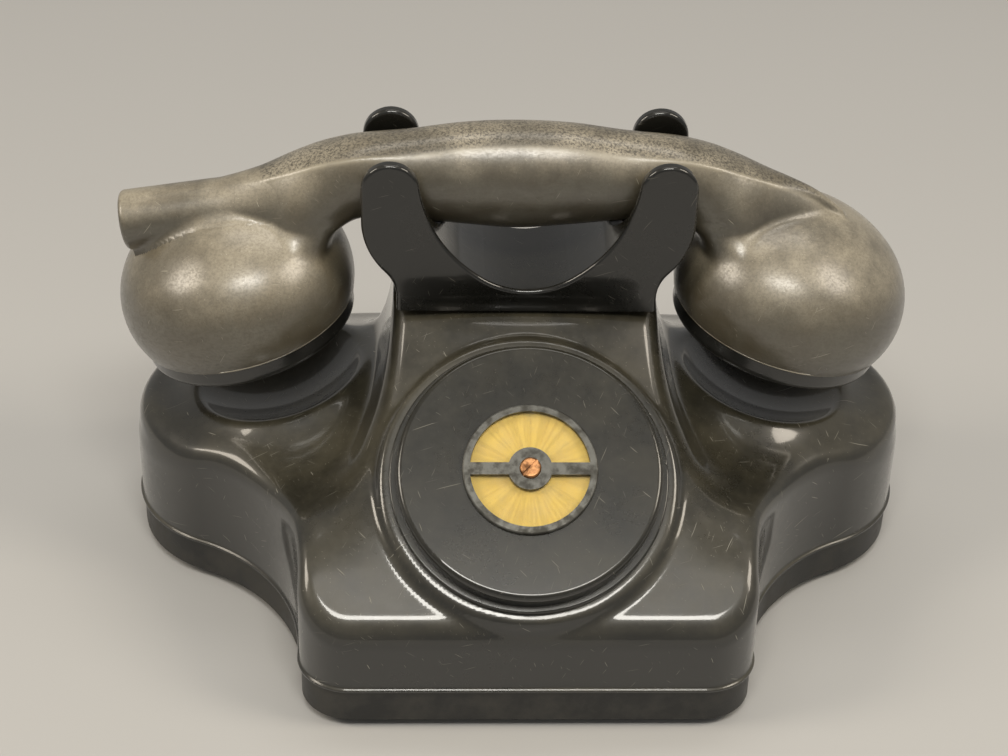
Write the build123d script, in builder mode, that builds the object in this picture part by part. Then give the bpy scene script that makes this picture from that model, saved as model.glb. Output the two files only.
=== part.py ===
from build123d import *
import os
from math import acos, asin, atan2, cos, degrees, radians, sin, sqrt, tan

os.makedirs("parts", exist_ok=True)

# Frame: +X is the right hand of someone facing the telephone, +Y runs to its back, +Z is up.
# The origin lies on the desk, under the middle of the telephone. Lengths are millimetres.

# Stand: rubber feet and the steel base pan
foot_height = 3.5
foot_radius = 7.0
foot_stem_radius = 2.5
foot_stem_length = 3.0
foot_edge_radius = 0.7
foot_places = [(-55.0, -64.0), (55.0, -64.0), (-84.0, 56.0), (84.0, 56.0)]
skirt_height = 11.5
skirt_setback = 1.2
pan_thickness = 1.5
bead_level = foot_height + skirt_height
floor_level = foot_height + pan_thickness

# Plan outline of the housing at the bead line
front_y = -75.5
back_y = 75.5
front_corner_radius = 16.5
waist_half_width = 70.0
waist_straight = 1.73
wing_centre_x = 88.0
wing_centre_y = 30.0
wing_radius = 38.0
wing_back_radius = back_y - wing_centre_y
wing_tip_x = wing_centre_x + wing_radius

# Hollow of the waist: it starts behind the straight side and runs tangent into the wing
waist_run = wing_centre_x - waist_half_width
waist_depth = wing_centre_y - front_y - front_corner_radius - waist_straight
waist_sum = waist_run**2 + waist_depth**2 - wing_radius**2
waist_curve_radius = waist_sum / (2 * (waist_run + wing_radius))

# Housing shell
wall = 3.0
bead_height = 1.3
bead_width = 0.7
wing_top = 52.0
wing_edge_radius = 7.0
slope_edge_radius = 5.0
ledge_level = 96.0
ledge_y = 9.8

# Dial face: its middle, its tilt from level, and the steps down to the slope
face_y = -42.0
face_z = 73.9
face_tilt = 34.85
blank_radius = 40.0
blank_height = 6.5
blank_edge_radius = 1.8
blank_spigot_length = 4.0
ring_radius = 42.1
ring_height = 2.6
ring_edge_radius = 0.6
boss_radius = 45.5
boss_edge_radius = 1.6
boss_depth = 12.0
opening_radius = 31.0
spigot_gap = 0.2

# Number card and its holder on the dial blank
holder_radius = 20.3
holder_height = 1.6
holder_edge_radius = 0.6
window_radius = 18.0
bar_width = 3.8
hub_radius = 6.6
card_radius = 18.8
card_thickness = 0.3
film_thickness = 0.6
centre_screw_radius = 2.0
centre_head_radius = 3.2
centre_head_height = 1.3
clamp_length = 74.0
clamp_width = 14.0
clamp_thickness = 2.0
nut_radius = 3.8
nut_height = 3.0
screw_end_spare = 1.0
slot_width = 0.8
slot_depth = 0.7
slot_angle = 45.0

# Tower under the cradle: level, half width, back face and corner radius of each plan section
tower_front_y = -60.0
tower_sections = [
    (51.0, 70.0, 70.5, 30.0),
    (58.0, 58.5, 65.0, 24.0),
    (66.0, 51.0, 60.5, 18.0),
    (80.0, 43.8, 55.5, 13.0),
    (96.0, 40.6, 51.5, 10.0),
]

# Round dishes in the wings, under the ends of the handset
dish_x = 78.5
dish_y = 27.5
dish_z = 62.0
dish_tilt = 12.5
dish_radius = 27.2
dish_depth = 10.0
dish_lip = 0.9
mound_drop = 16.0
mound_spread = 20.0

# Screw posts inside the housing, and the pan screws
post_radius = 5.0
post_places = [(-58.0, -50.0), (58.0, -50.0), (-72.0, 62.0), (72.0, 62.0)]
pan_screw_radius = 1.8
pan_screw_length = 14.0
pan_screw_head = 3.2

# Cord inlets in the back wall
inlet_level = 27.0
inlet_spacing = 50.0
inlet_radius = 5.5
cord_hole_radius = 3.4
grommet_flange = 1.6

# Cradle: front and back face, and the outline of its forks
cradle_front_y = 10.3
cradle_back_y = 48.5
cradle_foot_width = 40.2
fork_hollow_radius = 13.0
fork_belly_radius = 26.4
fork_foot = 4.5
prong_x = 42.1
prong_radius = 8.8
prong_height = 51.3
prong_lean = 7.0
saddle_bottom = 103.3
saddle_radius = 24.0
notch_half_width = 15.3
notch_floor = 118.6
prong_edge_radius = 1.2
relief_gap = 1.0
cradle_screw_x = 14.0
cradle_screw_y = 40.0
cradle_screw_radius = 1.8
cradle_screw_end = 102.0
cradle_screw_head = 3.4
cradle_head_height = 2.2

# Hookswitch: plungers, their clips and springs, the lever and its pivot
plunger_x = 33.0
plunger_radius = 2.5
plunger_head_radius = 4.0
plunger_head_height = 3.2
plunger_bottom = 86.5
plunger_proud = 0.5
plunger_edge_radius = 1.2
groove_radius = 1.9
groove_lift = 0.1
guide_gap = 0.1
spring_pocket = 12.0
spring_wire = 0.8
spring_radius = 3.7
clip_radius = 4.4
clip_height = 1.4
clip_mouth = 2.6
lever_pivot_y = 6.0
lever_pivot_z = 82.0
lever_half_length = 38.0
lever_bar_width = 6.0
lever_thickness = 2.0
lever_arm_x = 9.5
lever_arm_width = 3.0
lever_gap = 0.3
pivot_radius = 1.5
pin_spare = 0.6
running_gap = 0.05
barrel_radius = 3.2
bracket_thickness = 1.6
bracket_half_width = 13.0
bracket_y = 18.5
bracket_depth = 13.0
bracket_screw_x = 7.0
bracket_screw_radius = 1.4
bracket_screw_end = 95.2
bracket_screw_head = 2.6
bracket_head_height = 1.2
leaf_thickness = 0.4
leaf_width = 6.0
leaf_count = 3
leaf_pitch = 2.6
leaf_x = -25.0
leaf_tip_y = 27.0
leaf_end_y = 50.5
contact_radius = 1.2
contact_height = 0.8
block_y = 44.0
block_depth = 8.0
block_margin = 2.0

# Handset: where it lies, its grip sections, domes, spout and bores
handset_x = -3.0
dome_offset = 87.55
dome_z = 94.1
dome_radius = 37.3
dome_rise = 29.5
dome_side_radius = 25.0
dome_tilt = 14.5
rim_drop = 10.5
dome_wall = 3.5
thread_radius = 31.2
thread_depth = 9.0
chamber_radius = 28.5
spout_reach = 121.8
spout_z = 116.5
spout_tilt = 9.0
spout_radius = 9.4
spout_length = 32.0
spout_bore_radius = 3.4
spout_bore_length = 20.0
spout_inner_radius = 4.5
passage_radius = 3.5
passage_start = 20.0
passage_bend_x = 45.0
passage_bend_z = 131.0

# Grip sections by distance from the middle: level of the widest line, rise and drop from it,
# half width, then the upper shoulder and the lower corner as (across, up)
grip_sections = [
    (0.0, 134.0, 17.1, 17.1, 14.5, (8.5, 13.85), (8.5, -13.85)),
    (16.0, 134.1, 16.3, 15.96, 14.0, (8.5, 12.95), (8.3, -12.85)),
    (33.0, 133.9, 14.1, 14.4, 12.6, (8.5, 10.6), (7.8, -11.3)),
    (50.0, 131.9, 12.0, 12.6, 11.2, (8.3, 9.4), (6.8, -10.3)),
    (68.0, 127.6, 10.0, 12.4, 10.5, (6.9, 8.6), (6.5, -10.2)),
    (84.0, 121.0, 9.0, 12.0, 9.5, (4.8, 8.2), (6.0, -9.8)),
    (94.0, 116.3, 8.0, 11.0, 8.0, (2.6, 7.6), (5.0, -9.0)),
    (100.0, 112.0, 8.0, 9.0, 6.0, (1.6, 7.7), (4.0, -7.6)),
]

# Caps and capsules in the domes, measured along each dome's axis
cap_radius = 34.0
cap_height = 6.5
cap_seat_gap = 0.1
cap_neck_wall = 3.2
cap_hollow = 1.2
thread_gap = 0.15
cap_face_wall = 2.4
cap_edge_radius = 2.6
sound_hole_radius = 1.3
receiver_hole_circles = [7.0, 14.0]
mouthpiece_hole_circles = [6.0, 12.0, 18.0]
first_circle_holes = 6
capsule_radius = 26.0
capsule_height = 13.0
capsule_edge_radius = 2.0
flange_height = 4.3

# Ringer: coils, yoke, armature, clapper, gongs and their posts
ringer_half_width = 42.0
ringer_front_y = -22.0
ringer_back_y = 50.0
ringer_plate = 2.0
ringer_corner_radius = 6.0
ringer_screw_places = [(-36.0, -16.0), (36.0, -16.0), (-12.0, 45.0), (12.0, 45.0)]
ringer_screw_radius = 1.5
ringer_screw_head = 2.8
ringer_head_height = 1.6
yoke_y = -20.0
yoke_half_width = 24.0
yoke_height = 27.0
pad_height = 5.0
coil_x = 13.5
coil_z = 22.0
coil_radius = 10.0
coil_flange_radius = 11.0
coil_length = 22.0
core_radius = 3.5
flange_thickness = 1.5
pole_gap = 1.2
armature_half_length = 19.0
armature_thickness = 2.4
armature_height = 12.0
hinge_y = 10.4
hinge_radius = 1.0
hinge_barrel = 3.0
clapper_ball = 3.5
clapper_rod = 1.0
clapper_z = 24.0
gong_x = 30.0
gong_y = 40.0
gong_radius = 25.0
gong_height = 13.0
gong_wall = 1.4
gong_lip = 2.0
gong_crown_radius = 8.0
gong_bulge = 3.6
gong_rim_z = 20.0
gong_post_radius = 4.0
gong_screw_radius = 2.0
gong_screw_head = 4.5
gong_screw_depth = 8.0
gong_head_height = 2.0

# Transmission parts on the pan: induction coil, condenser and terminal board
induction_x = -86.0
induction_y = 26.0
winding_radius = 10.0
winding_length = 48.0
end_plate = 23.0
end_plate_thickness = 2.5
condenser_x = 86.0
condenser_width = 28.0
condenser_length = 52.0
condenser_height = 22.0
condenser_edge_radius = 2.0
strap_thickness = 0.8
strap_width = 12.0
strap_foot = 8.0
board_half_length = 34.0
board_y = -54.0
board_width = 16.0
board_level = 13.0
board_thickness = 3.0
board_screws = 6
board_screw_pitch = 10.0
board_screw_radius = 1.2
board_screw_head = 2.4
board_head_height = 1.8
standoff_x = 30.0
standoff_radius = 3.0

slope = tan(radians(face_tilt))
sides = [(-1, "left"), (1, "right")]
grip_y = (cradle_front_y + cradle_back_y) / 2
prong_top = ledge_level + prong_height


def slope_level(y):
    """Height of the sloping front surface at y."""
    return ledge_level + (y - ledge_y) * slope


def face_plane(height):
    """Plane parallel to the dial face, at a height above it."""
    tilt = radians(face_tilt)
    origin = (0, face_y - height * sin(tilt), face_z + height * cos(tilt))
    return Plane(origin=origin, x_dir=(1, 0, 0), z_dir=(0, -sin(tilt), cos(tilt)))


face_axis = Axis(face_plane(0).origin, face_plane(0).z_dir)


def dish_plane(side, height):
    """Plane of a dish lip, on the side -1 or 1, moved along its own normal."""
    tilt = radians(dish_tilt)
    normal = (side * sin(tilt), 0, cos(tilt))
    origin = (side * dish_x + height * normal[0], dish_y, dish_z + height * normal[2])
    return Plane(origin=origin, x_dir=(cos(tilt), 0, -side * sin(tilt)), z_dir=normal)


def dome_axis(side):
    """Axis of a handset dome, from its middle outwards through the crown."""
    tilt = radians(dome_tilt)
    middle = (handset_x + side * dome_offset, grip_y, dome_z)
    return Axis(middle, (side * sin(tilt), 0, cos(tilt)))


def dome_section(side):
    """Upright plane through a dome, its local y up the dome's axis."""
    tilt = radians(dome_tilt)
    return Plane(
        origin=(handset_x + side * dome_offset, grip_y, dome_z),
        x_dir=(cos(tilt), 0, -side * sin(tilt)),
        z_dir=(0, -1, 0),
    )


def half_outline():
    """Right half of the plan outline: straight front, waist, wing and back."""
    corner_x = waist_half_width - front_corner_radius
    corner_y = front_y + front_corner_radius
    hollow_x = waist_half_width + waist_curve_radius
    reach = waist_curve_radius + wing_radius
    hollow_y = wing_centre_y - sqrt(reach**2 - (hollow_x - wing_centre_x) ** 2)
    to_wing = degrees(atan2(wing_centre_y - hollow_y, wing_centre_x - hollow_x))
    with BuildLine() as half:
        Line((0, front_y), (corner_x, front_y))
        CenterArc((corner_x, corner_y), front_corner_radius, -90, 90)
        Line((waist_half_width, corner_y), (waist_half_width, hollow_y))
        CenterArc((hollow_x, hollow_y), waist_curve_radius, 180, to_wing - 180)
        CenterArc((wing_centre_x, wing_centre_y), wing_radius, to_wing - 180, 180 - to_wing)
        CenterArc((wing_tip_x - wing_back_radius, wing_centre_y), wing_back_radius, 0, 90)
        Line((wing_tip_x - wing_back_radius, back_y), (0, back_y))
    return half.line


def outline_face(inset):
    """Plan outline drawn in by inset."""
    with BuildSketch() as plan:
        with BuildLine():
            add(half_outline())
            mirror(half_outline(), about=Plane.YZ)
        make_face()
        if inset > 0:
            offset(amount=-inset, kind=Kind.INTERSECTION)
    return plan.sketch


def sloped_block(inset):
    """Everything inside the plan outline and under the sloping front, its edge rounded."""
    drop = inset / cos(radians(face_tilt))
    far_front = front_y - wall
    with BuildPart() as block:
        with BuildSketch(Plane.XY.offset(bead_level)):
            add(outline_face(bead_width + inset))
        extrude(amount=2 * ledge_level)
        with BuildSketch(Plane.YZ):
            with BuildLine():
                Polyline(
                    (far_front, 0),
                    (far_front, slope_level(far_front) - drop),
                    (back_y, slope_level(back_y) - drop),
                    (back_y, 0),
                    close=True,
                )
            make_face()
        extrude(amount=wing_tip_x, both=True, mode=Mode.INTERSECT)
        rims = block.edges().filter_by(lambda e: abs((e % 0.5).Z) < 0.95)
        rims = rims.filter_by(lambda e: e.center().Z > bead_level + wall)
        fillet(rims.filter_by(lambda e: e.center().Y < ringer_back_y), slope_edge_radius)
    return block.part


def wing_slab(inset):
    """Flat-topped slab of the whole outline, its top edge rounded."""
    with BuildPart() as slab:
        with BuildSketch(Plane.XY.offset(bead_level)):
            add(outline_face(bead_width + inset))
        extrude(amount=wing_top - inset - bead_level)
        fillet(slab.faces().sort_by(Axis.Z)[-1].edges(), wing_edge_radius)
    return slab.part


def tower(inset):
    """Flared tower that carries the cradle, open forwards to the slope."""
    with BuildPart() as body:
        for level, half_width, back, corner in tower_sections:
            top = ledge_level - inset
            with BuildSketch(Plane.XY.offset(min(level, top))) as plan:
                depth = back - inset - tower_front_y
                with Locations((0, tower_front_y + depth / 2)):
                    Rectangle(2 * (half_width - inset), depth)
                fillet(plan.vertices().group_by(Axis.Y)[-1], corner - inset)
        loft()
    return body.part


def dish_mound(side, inset):
    """Cone that carries a dish lip."""
    with BuildPart() as mound:
        with BuildSketch(dish_plane(side, -inset)):
            Circle(dish_radius + dish_lip - inset / 2)
        with BuildSketch(dish_plane(side, -mound_drop - inset)):
            Circle(dish_radius + mound_spread - inset)
        loft(ruled=True)
    return mound.part


def dish_bowl(side, thickness):
    """Spherical hollow of a dish, grown by a thickness to leave its wall."""
    sphere_radius = (dish_radius**2 + dish_depth**2) / (2 * dish_depth)
    centre = dish_plane(side, sphere_radius - dish_depth).origin
    below = dish_depth + 2 * wall
    with BuildPart() as bowl:
        with Locations(centre):
            Sphere(sphere_radius + thickness)
        with BuildSketch(dish_plane(side, -below)):
            Circle(dish_radius + 2 * thickness)
        extrude(amount=below + 2 * wall, mode=Mode.INTERSECT)
    return bowl.part


def dial_boss(inset):
    """Round boss on the slope that carries the dial."""
    top = -blank_height - ring_height - inset
    with BuildPart() as boss:
        with BuildSketch(face_plane(top)):
            Circle(boss_radius - inset)
        extrude(amount=-boss_depth)
        fillet(boss.edges().group_by(face_axis)[-1], boss_edge_radius)
    return boss.part


def body_top(block, inset):
    """Tower and dish mounds, cut off at the sloping front."""
    with BuildPart() as top:
        add(tower(inset))
        for side, _ in sides:
            add(dish_mound(side, inset))
        add(block, mode=Mode.INTERSECT)
    return top.part


def body_form(inset):
    """Outside of the housing, or with an inset the hollow inside it."""
    block = sloped_block(inset)
    with BuildPart() as form:
        add(wing_slab(inset))
        add(block, mode=Mode.INTERSECT)
        add(body_top(block, inset))
        add(dial_boss(inset))
    return form.part


def housing_hollow():
    """Hollow inside the housing, kept clear of the walls under the dishes."""
    with BuildPart() as hollow:
        add(body_form(wall))
        for side, _ in sides:
            add(dish_bowl(side, wall), mode=Mode.SUBTRACT)
    return hollow.part


def rod(radius, bottom, top, place):
    """Upright round bar between two levels."""
    with BuildPart() as bar:
        with BuildSketch(Plane.XY.offset(bottom)):
            with Locations(place):
                Circle(radius)
        extrude(amount=top - bottom)
    return bar.part


def bar_between(radius, start, end):
    """Round bar from one point to another."""
    run = Vector(*end) - Vector(*start)
    with BuildPart() as bar:
        with BuildSketch(Plane(origin=start, z_dir=run)):
            Circle(radius)
        extrude(amount=run.length)
    return bar.part


def screw_posts(outside):
    """Posts inside the housing that reach up to its roof."""
    with BuildPart() as posts:
        for place in post_places:
            add(rod(post_radius, bead_level, wing_top, place))
        add(outside, mode=Mode.INTERSECT)
    return posts.part


def countersunk_form(place):
    """Pan screw without its slot, its head flush with the underside of the pan."""
    shank_start = foot_height + pan_screw_head - pan_screw_radius
    with BuildPart() as screw:
        with BuildSketch(Plane.XY.offset(foot_height)):
            with Locations(place):
                Circle(pan_screw_head)
        with BuildSketch(Plane.XY.offset(shank_start)):
            with Locations(place):
                Circle(pan_screw_radius)
        loft(ruled=True)
        add(rod(pan_screw_radius, shank_start, foot_height + pan_screw_length, place))
    return screw.part


def back_plane(y):
    """Upright plane at y that looks out of the back wall."""
    return Plane(origin=(0, y, inlet_level), x_dir=(-1, 0, 0), z_dir=(0, 1, 0))


def fork_face():
    """Front outline of the cradle in tangent arcs: hollow, belly, prong tip and saddle."""
    prong_z = prong_top - prong_radius
    belly_x = prong_x + prong_radius - fork_belly_radius
    reach = fork_hollow_radius + fork_belly_radius
    bend = acos(1 - (prong_x + prong_radius - cradle_foot_width) / reach)
    hollow_z = ledge_level + fork_foot
    belly_z = hollow_z + reach * sin(bend)
    lean = radians(prong_lean)
    run = prong_x - (prong_radius + saddle_radius) * cos(lean)
    rise = prong_z + (prong_radius + saddle_radius) * sin(lean) - saddle_bottom - saddle_radius
    saddle_angle = 2 * degrees(atan2(rise, run)) + prong_lean - 90
    with BuildSketch() as face:
        with BuildLine():
            Line((cradle_foot_width, ledge_level), (cradle_foot_width, hollow_z))
            hollow_centre = (cradle_foot_width + fork_hollow_radius, hollow_z)
            CenterArc(hollow_centre, fork_hollow_radius, 180, -degrees(bend))
            belly = CenterArc((belly_x, belly_z), fork_belly_radius, -degrees(bend), degrees(bend))
            Line(belly @ 1, (prong_x + prong_radius, prong_z))
            tip = CenterArc((prong_x, prong_z), prong_radius, 0, 180 - prong_lean)
            saddle = CenterArc((0, saddle_bottom + saddle_radius), saddle_radius, -90, saddle_angle)
            TangentArc(tip @ 1, saddle @ 1, tangent=tip % 1)
            Polyline((0, saddle_bottom), (0, ledge_level), (cradle_foot_width, ledge_level))
        make_face()
        mirror(about=Plane.YZ)
    return face.sketch


# Housing: one moulded shell with wings, dishes, dial boss and cradle tower
outside = body_form(0)
with BuildPart() as housing:
    add(outside)
    with BuildSketch(Plane.XY.offset(bead_level)):
        add(outline_face(0))
    extrude(amount=bead_height)
    for side, _ in sides:
        add(dish_bowl(side, 0), mode=Mode.SUBTRACT)
    add(housing_hollow(), mode=Mode.SUBTRACT)
    add(screw_posts(outside))
    for place in post_places:
        add(rod(post_radius, floor_level, bead_level, place))
        add(rod(pan_screw_radius, floor_level, foot_height + pan_screw_length, place), mode=Mode.SUBTRACT)
    with BuildSketch(face_plane(-blank_height)):
        Circle(opening_radius)
    extrude(amount=-(ring_height + 2 * wall), mode=Mode.SUBTRACT)
    for side, _ in sides:
        under_roof = ledge_level - 2 * wall
        plunger_hole = (side * plunger_x, grip_y)
        add(rod(plunger_radius + guide_gap, under_roof, ledge_level, plunger_hole), mode=Mode.SUBTRACT)
        cradle_hole = (side * cradle_screw_x, cradle_screw_y)
        add(rod(cradle_screw_radius, under_roof, ledge_level, cradle_hole), mode=Mode.SUBTRACT)
        bracket_hole = (side * bracket_screw_x, bracket_y)
        add(rod(bracket_screw_radius, under_roof, bracket_screw_end, bracket_hole), mode=Mode.SUBTRACT)
    with BuildSketch(back_plane(back_y)):
        with GridLocations(inlet_spacing, 0, 2, 1):
            Circle(inlet_radius)
    extrude(amount=-3 * wall, mode=Mode.SUBTRACT)
housing.part.label = "housing"
export_step(housing.part, "parts/housing.step")

# Base pan: pressed steel floor with an upright skirt that the housing stands on
with BuildPart() as base_pan:
    with BuildSketch(Plane.XY.offset(foot_height)):
        add(outline_face(skirt_setback))
    extrude(amount=skirt_height)
    with BuildSketch(Plane.XY.offset(floor_level)):
        add(outline_face(skirt_setback + pan_thickness))
    extrude(amount=skirt_height, mode=Mode.SUBTRACT)
    for place in post_places:
        add(countersunk_form(place), mode=Mode.SUBTRACT)
    for place in foot_places:
        add(rod(foot_stem_radius, foot_height, floor_level, place), mode=Mode.SUBTRACT)
    for place in ringer_screw_places:
        add(rod(ringer_screw_radius, foot_height, floor_level, place), mode=Mode.SUBTRACT)
base_pan.part.label = "base_pan"
export_step(base_pan.part, "parts/base_pan.step")

# Rubber feet: discs with stems pushed through the pan
with BuildPart() as rubber_feet:
    for place in foot_places:
        add(rod(foot_radius, 0, foot_height, place))
    fillet(rubber_feet.edges().group_by(Axis.Z)[0], foot_edge_radius)
    for place in foot_places:
        add(rod(foot_stem_radius, foot_height, foot_height + foot_stem_length, place))
rubber_feet.part.label = "rubber_feet"
export_step(rubber_feet.part, "parts/rubber_feet.step")

# Pan screws: slotted and countersunk, one up into each post
with BuildPart() as pan_screws:
    for place in post_places:
        add(countersunk_form(place))
    with BuildSketch(Plane.XY.offset(foot_height)):
        with Locations(*post_places):
            Rectangle(2 * pan_screw_head, slot_width)
    extrude(amount=slot_depth, mode=Mode.SUBTRACT)
pan_screws.part.label = "pan_screws"
export_step(pan_screws.part, "parts/pan_screws.step")

# Grommets in the two cord inlets: outer flange, neck through the wall and inner flange
outer_face_y = back_y - bead_width
for side, name in ((-1, "handset_cord_grommet"), (1, "line_cord_grommet")):
    with BuildPart() as grommet:
        for start, depth, radius in (
            (outer_face_y, bead_width, inlet_radius + grommet_flange),
            (outer_face_y - wall, wall, inlet_radius),
            (outer_face_y - wall - grommet_flange, grommet_flange, inlet_radius + grommet_flange),
        ):
            with BuildSketch(back_plane(start)):
                with Locations((-side * inlet_spacing / 2, 0)):
                    Circle(radius)
                    Circle(cord_hole_radius, mode=Mode.SUBTRACT)
            extrude(amount=depth)
    grommet.part.label = name
    export_step(grommet.part, f"parts/{name}.step")

# Dial ring: flat spacer between the boss and the blank
with BuildPart() as dial_ring:
    with BuildSketch(face_plane(-blank_height - ring_height)):
        Circle(ring_radius)
        Circle(opening_radius, mode=Mode.SUBTRACT)
    extrude(amount=ring_height)
    fillet(dial_ring.edges().group_by(face_axis)[-1].sort_by(SortBy.RADIUS)[-1], ring_edge_radius)
dial_ring.part.label = "dial_ring"
export_step(dial_ring.part, "parts/dial_ring.step")

# Dial blank: moulded disc that fills the place of a dial, with a spigot into the opening
with BuildPart() as dial_blank:
    with BuildSketch(face_plane(-blank_height)):
        Circle(blank_radius)
    extrude(amount=blank_height)
    fillet(dial_blank.edges().group_by(face_axis)[-1], blank_edge_radius)
    with BuildSketch(face_plane(-blank_height)):
        Circle(opening_radius - spigot_gap)
        Circle(opening_radius - spigot_gap - wall, mode=Mode.SUBTRACT)
    extrude(amount=-blank_spigot_length)
    with BuildSketch(face_plane(0)):
        Circle(card_radius)
    extrude(amount=-card_thickness - film_thickness, mode=Mode.SUBTRACT)
    with BuildSketch(face_plane(0)):
        Circle(centre_screw_radius)
    extrude(amount=-blank_height, mode=Mode.SUBTRACT)
dial_blank.part.label = "dial_blank"
export_step(dial_blank.part, "parts/dial_blank.step")

# Number card and the clear film over it, both in the recess of the blank
for name, bottom, thickness in (
    ("number_card", -film_thickness - card_thickness, card_thickness),
    ("card_window", -film_thickness, film_thickness),
):
    with BuildPart() as layer:
        with BuildSketch(face_plane(bottom)):
            Circle(card_radius)
            Circle(centre_screw_radius, mode=Mode.SUBTRACT)
        extrude(amount=thickness)
    layer.part.label = name
    export_step(layer.part, f"parts/{name}.step")

# Card holder: metal rim with a bar and hub across it, leaving two windows
with BuildPart() as card_holder:
    with BuildSketch(face_plane(0)):
        Circle(holder_radius)
    extrude(amount=holder_height)
    fillet(card_holder.edges().group_by(face_axis)[-1], holder_edge_radius)
    with BuildSketch(face_plane(0)):
        Circle(window_radius)
        Rectangle(2 * window_radius, bar_width, mode=Mode.SUBTRACT)
        Circle(hub_radius, mode=Mode.SUBTRACT)
        Circle(centre_screw_radius)
    extrude(amount=holder_height, mode=Mode.SUBTRACT)
card_holder.part.label = "card_holder"
export_step(card_holder.part, "parts/card_holder.step")

# Clamp bar and nut behind the opening, drawn up by the slotted centre screw
clamp_top = -blank_height - ring_height - wall
with BuildPart() as dial_clamp_bar:
    with BuildSketch(face_plane(clamp_top)):
        SlotOverall(clamp_length, clamp_width)
        Circle(centre_screw_radius, mode=Mode.SUBTRACT)
    extrude(amount=-clamp_thickness)
dial_clamp_bar.part.label = "dial_clamp_bar"
export_step(dial_clamp_bar.part, "parts/dial_clamp_bar.step")

with BuildPart() as dial_nut:
    with BuildSketch(face_plane(clamp_top - clamp_thickness)):
        RegularPolygon(nut_radius, 6)
        Circle(centre_screw_radius, mode=Mode.SUBTRACT)
    extrude(amount=-nut_height)
dial_nut.part.label = "dial_nut"
export_step(dial_nut.part, "parts/dial_nut.step")

screw_reach = clamp_top - clamp_thickness - nut_height - screw_end_spare
with BuildPart() as centre_screw:
    with BuildSketch(face_plane(holder_height)):
        Circle(centre_head_radius)
    extrude(amount=centre_head_height)
    fillet(centre_screw.edges().group_by(face_axis)[-1], centre_head_height / 2)
    with BuildSketch(face_plane(holder_height + centre_head_height)):
        Rectangle(2 * centre_head_radius, slot_width, rotation=slot_angle)
    extrude(amount=-slot_depth, mode=Mode.SUBTRACT)
    with BuildSketch(face_plane(screw_reach)):
        Circle(centre_screw_radius)
    extrude(amount=holder_height - screw_reach)
centre_screw.part.label = "centre_screw"
export_step(centre_screw.part, "parts/centre_screw.step")

# Cradle: two forks joined by a saddle, with a trough along it for the grip. The forks are
# hollowed on their outer sides, so that the round ends of the handset lift past them.
pocket_floor = notch_floor - spring_pocket
relief_x = handset_x + dome_offset - rim_drop * sin(radians(dome_tilt))
with BuildPart() as cradle:
    with BuildSketch(Plane.XZ.offset(-cradle_front_y)):
        add(fork_face())
    extrude(amount=cradle_front_y - cradle_back_y)
    with BuildSketch(Plane.YZ.offset(-2 * prong_x)):
        with Locations((grip_y, notch_floor + notch_half_width)):
            Circle(notch_half_width)
            Rectangle(2 * notch_half_width, prong_top - notch_floor, align=(Align.CENTER, Align.MIN))
    extrude(amount=4 * prong_x, mode=Mode.SUBTRACT)
    rims = cradle.edges().filter_by(lambda e: e.center().Z > ledge_level + wall)
    across = rims.filter_by(GeomType.LINE).filter_by(Axis.Y)
    fillet(rims - across - rims.filter_by(GeomType.LINE).filter_by(Axis.X), prong_edge_radius)
    for side, _ in sides:
        relief = rod(cap_radius + relief_gap, ledge_level, prong_top, (side * relief_x, grip_y))
        add(relief, mode=Mode.SUBTRACT)
        seat = (side * plunger_x, grip_y)
        add(rod(plunger_radius + guide_gap, ledge_level, prong_top, seat), mode=Mode.SUBTRACT)
        add(rod(plunger_head_radius + guide_gap, pocket_floor, prong_top, seat), mode=Mode.SUBTRACT)
        cradle_hole = (side * cradle_screw_x, cradle_screw_y)
        add(rod(cradle_screw_radius, ledge_level, cradle_screw_end, cradle_hole), mode=Mode.SUBTRACT)
cradle.part.label = "cradle"
export_step(cradle.part, "parts/cradle.step")

# Cradle screws, up through the roof of the housing
roof = ledge_level - wall
with BuildPart() as cradle_screws:
    for side, _ in sides:
        place = (side * cradle_screw_x, cradle_screw_y)
        add(rod(cradle_screw_radius, roof, cradle_screw_end, place))
        add(rod(cradle_screw_head, roof - cradle_head_height, roof, place))
        with BuildSketch(Plane.XY.offset(roof - cradle_head_height)):
            with Locations(place):
                Rectangle(2 * cradle_screw_head, slot_width)
        extrude(amount=slot_depth, mode=Mode.SUBTRACT)
cradle_screws.part.label = "cradle_screws"
export_step(cradle_screws.part, "parts/cradle_screws.step")

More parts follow.
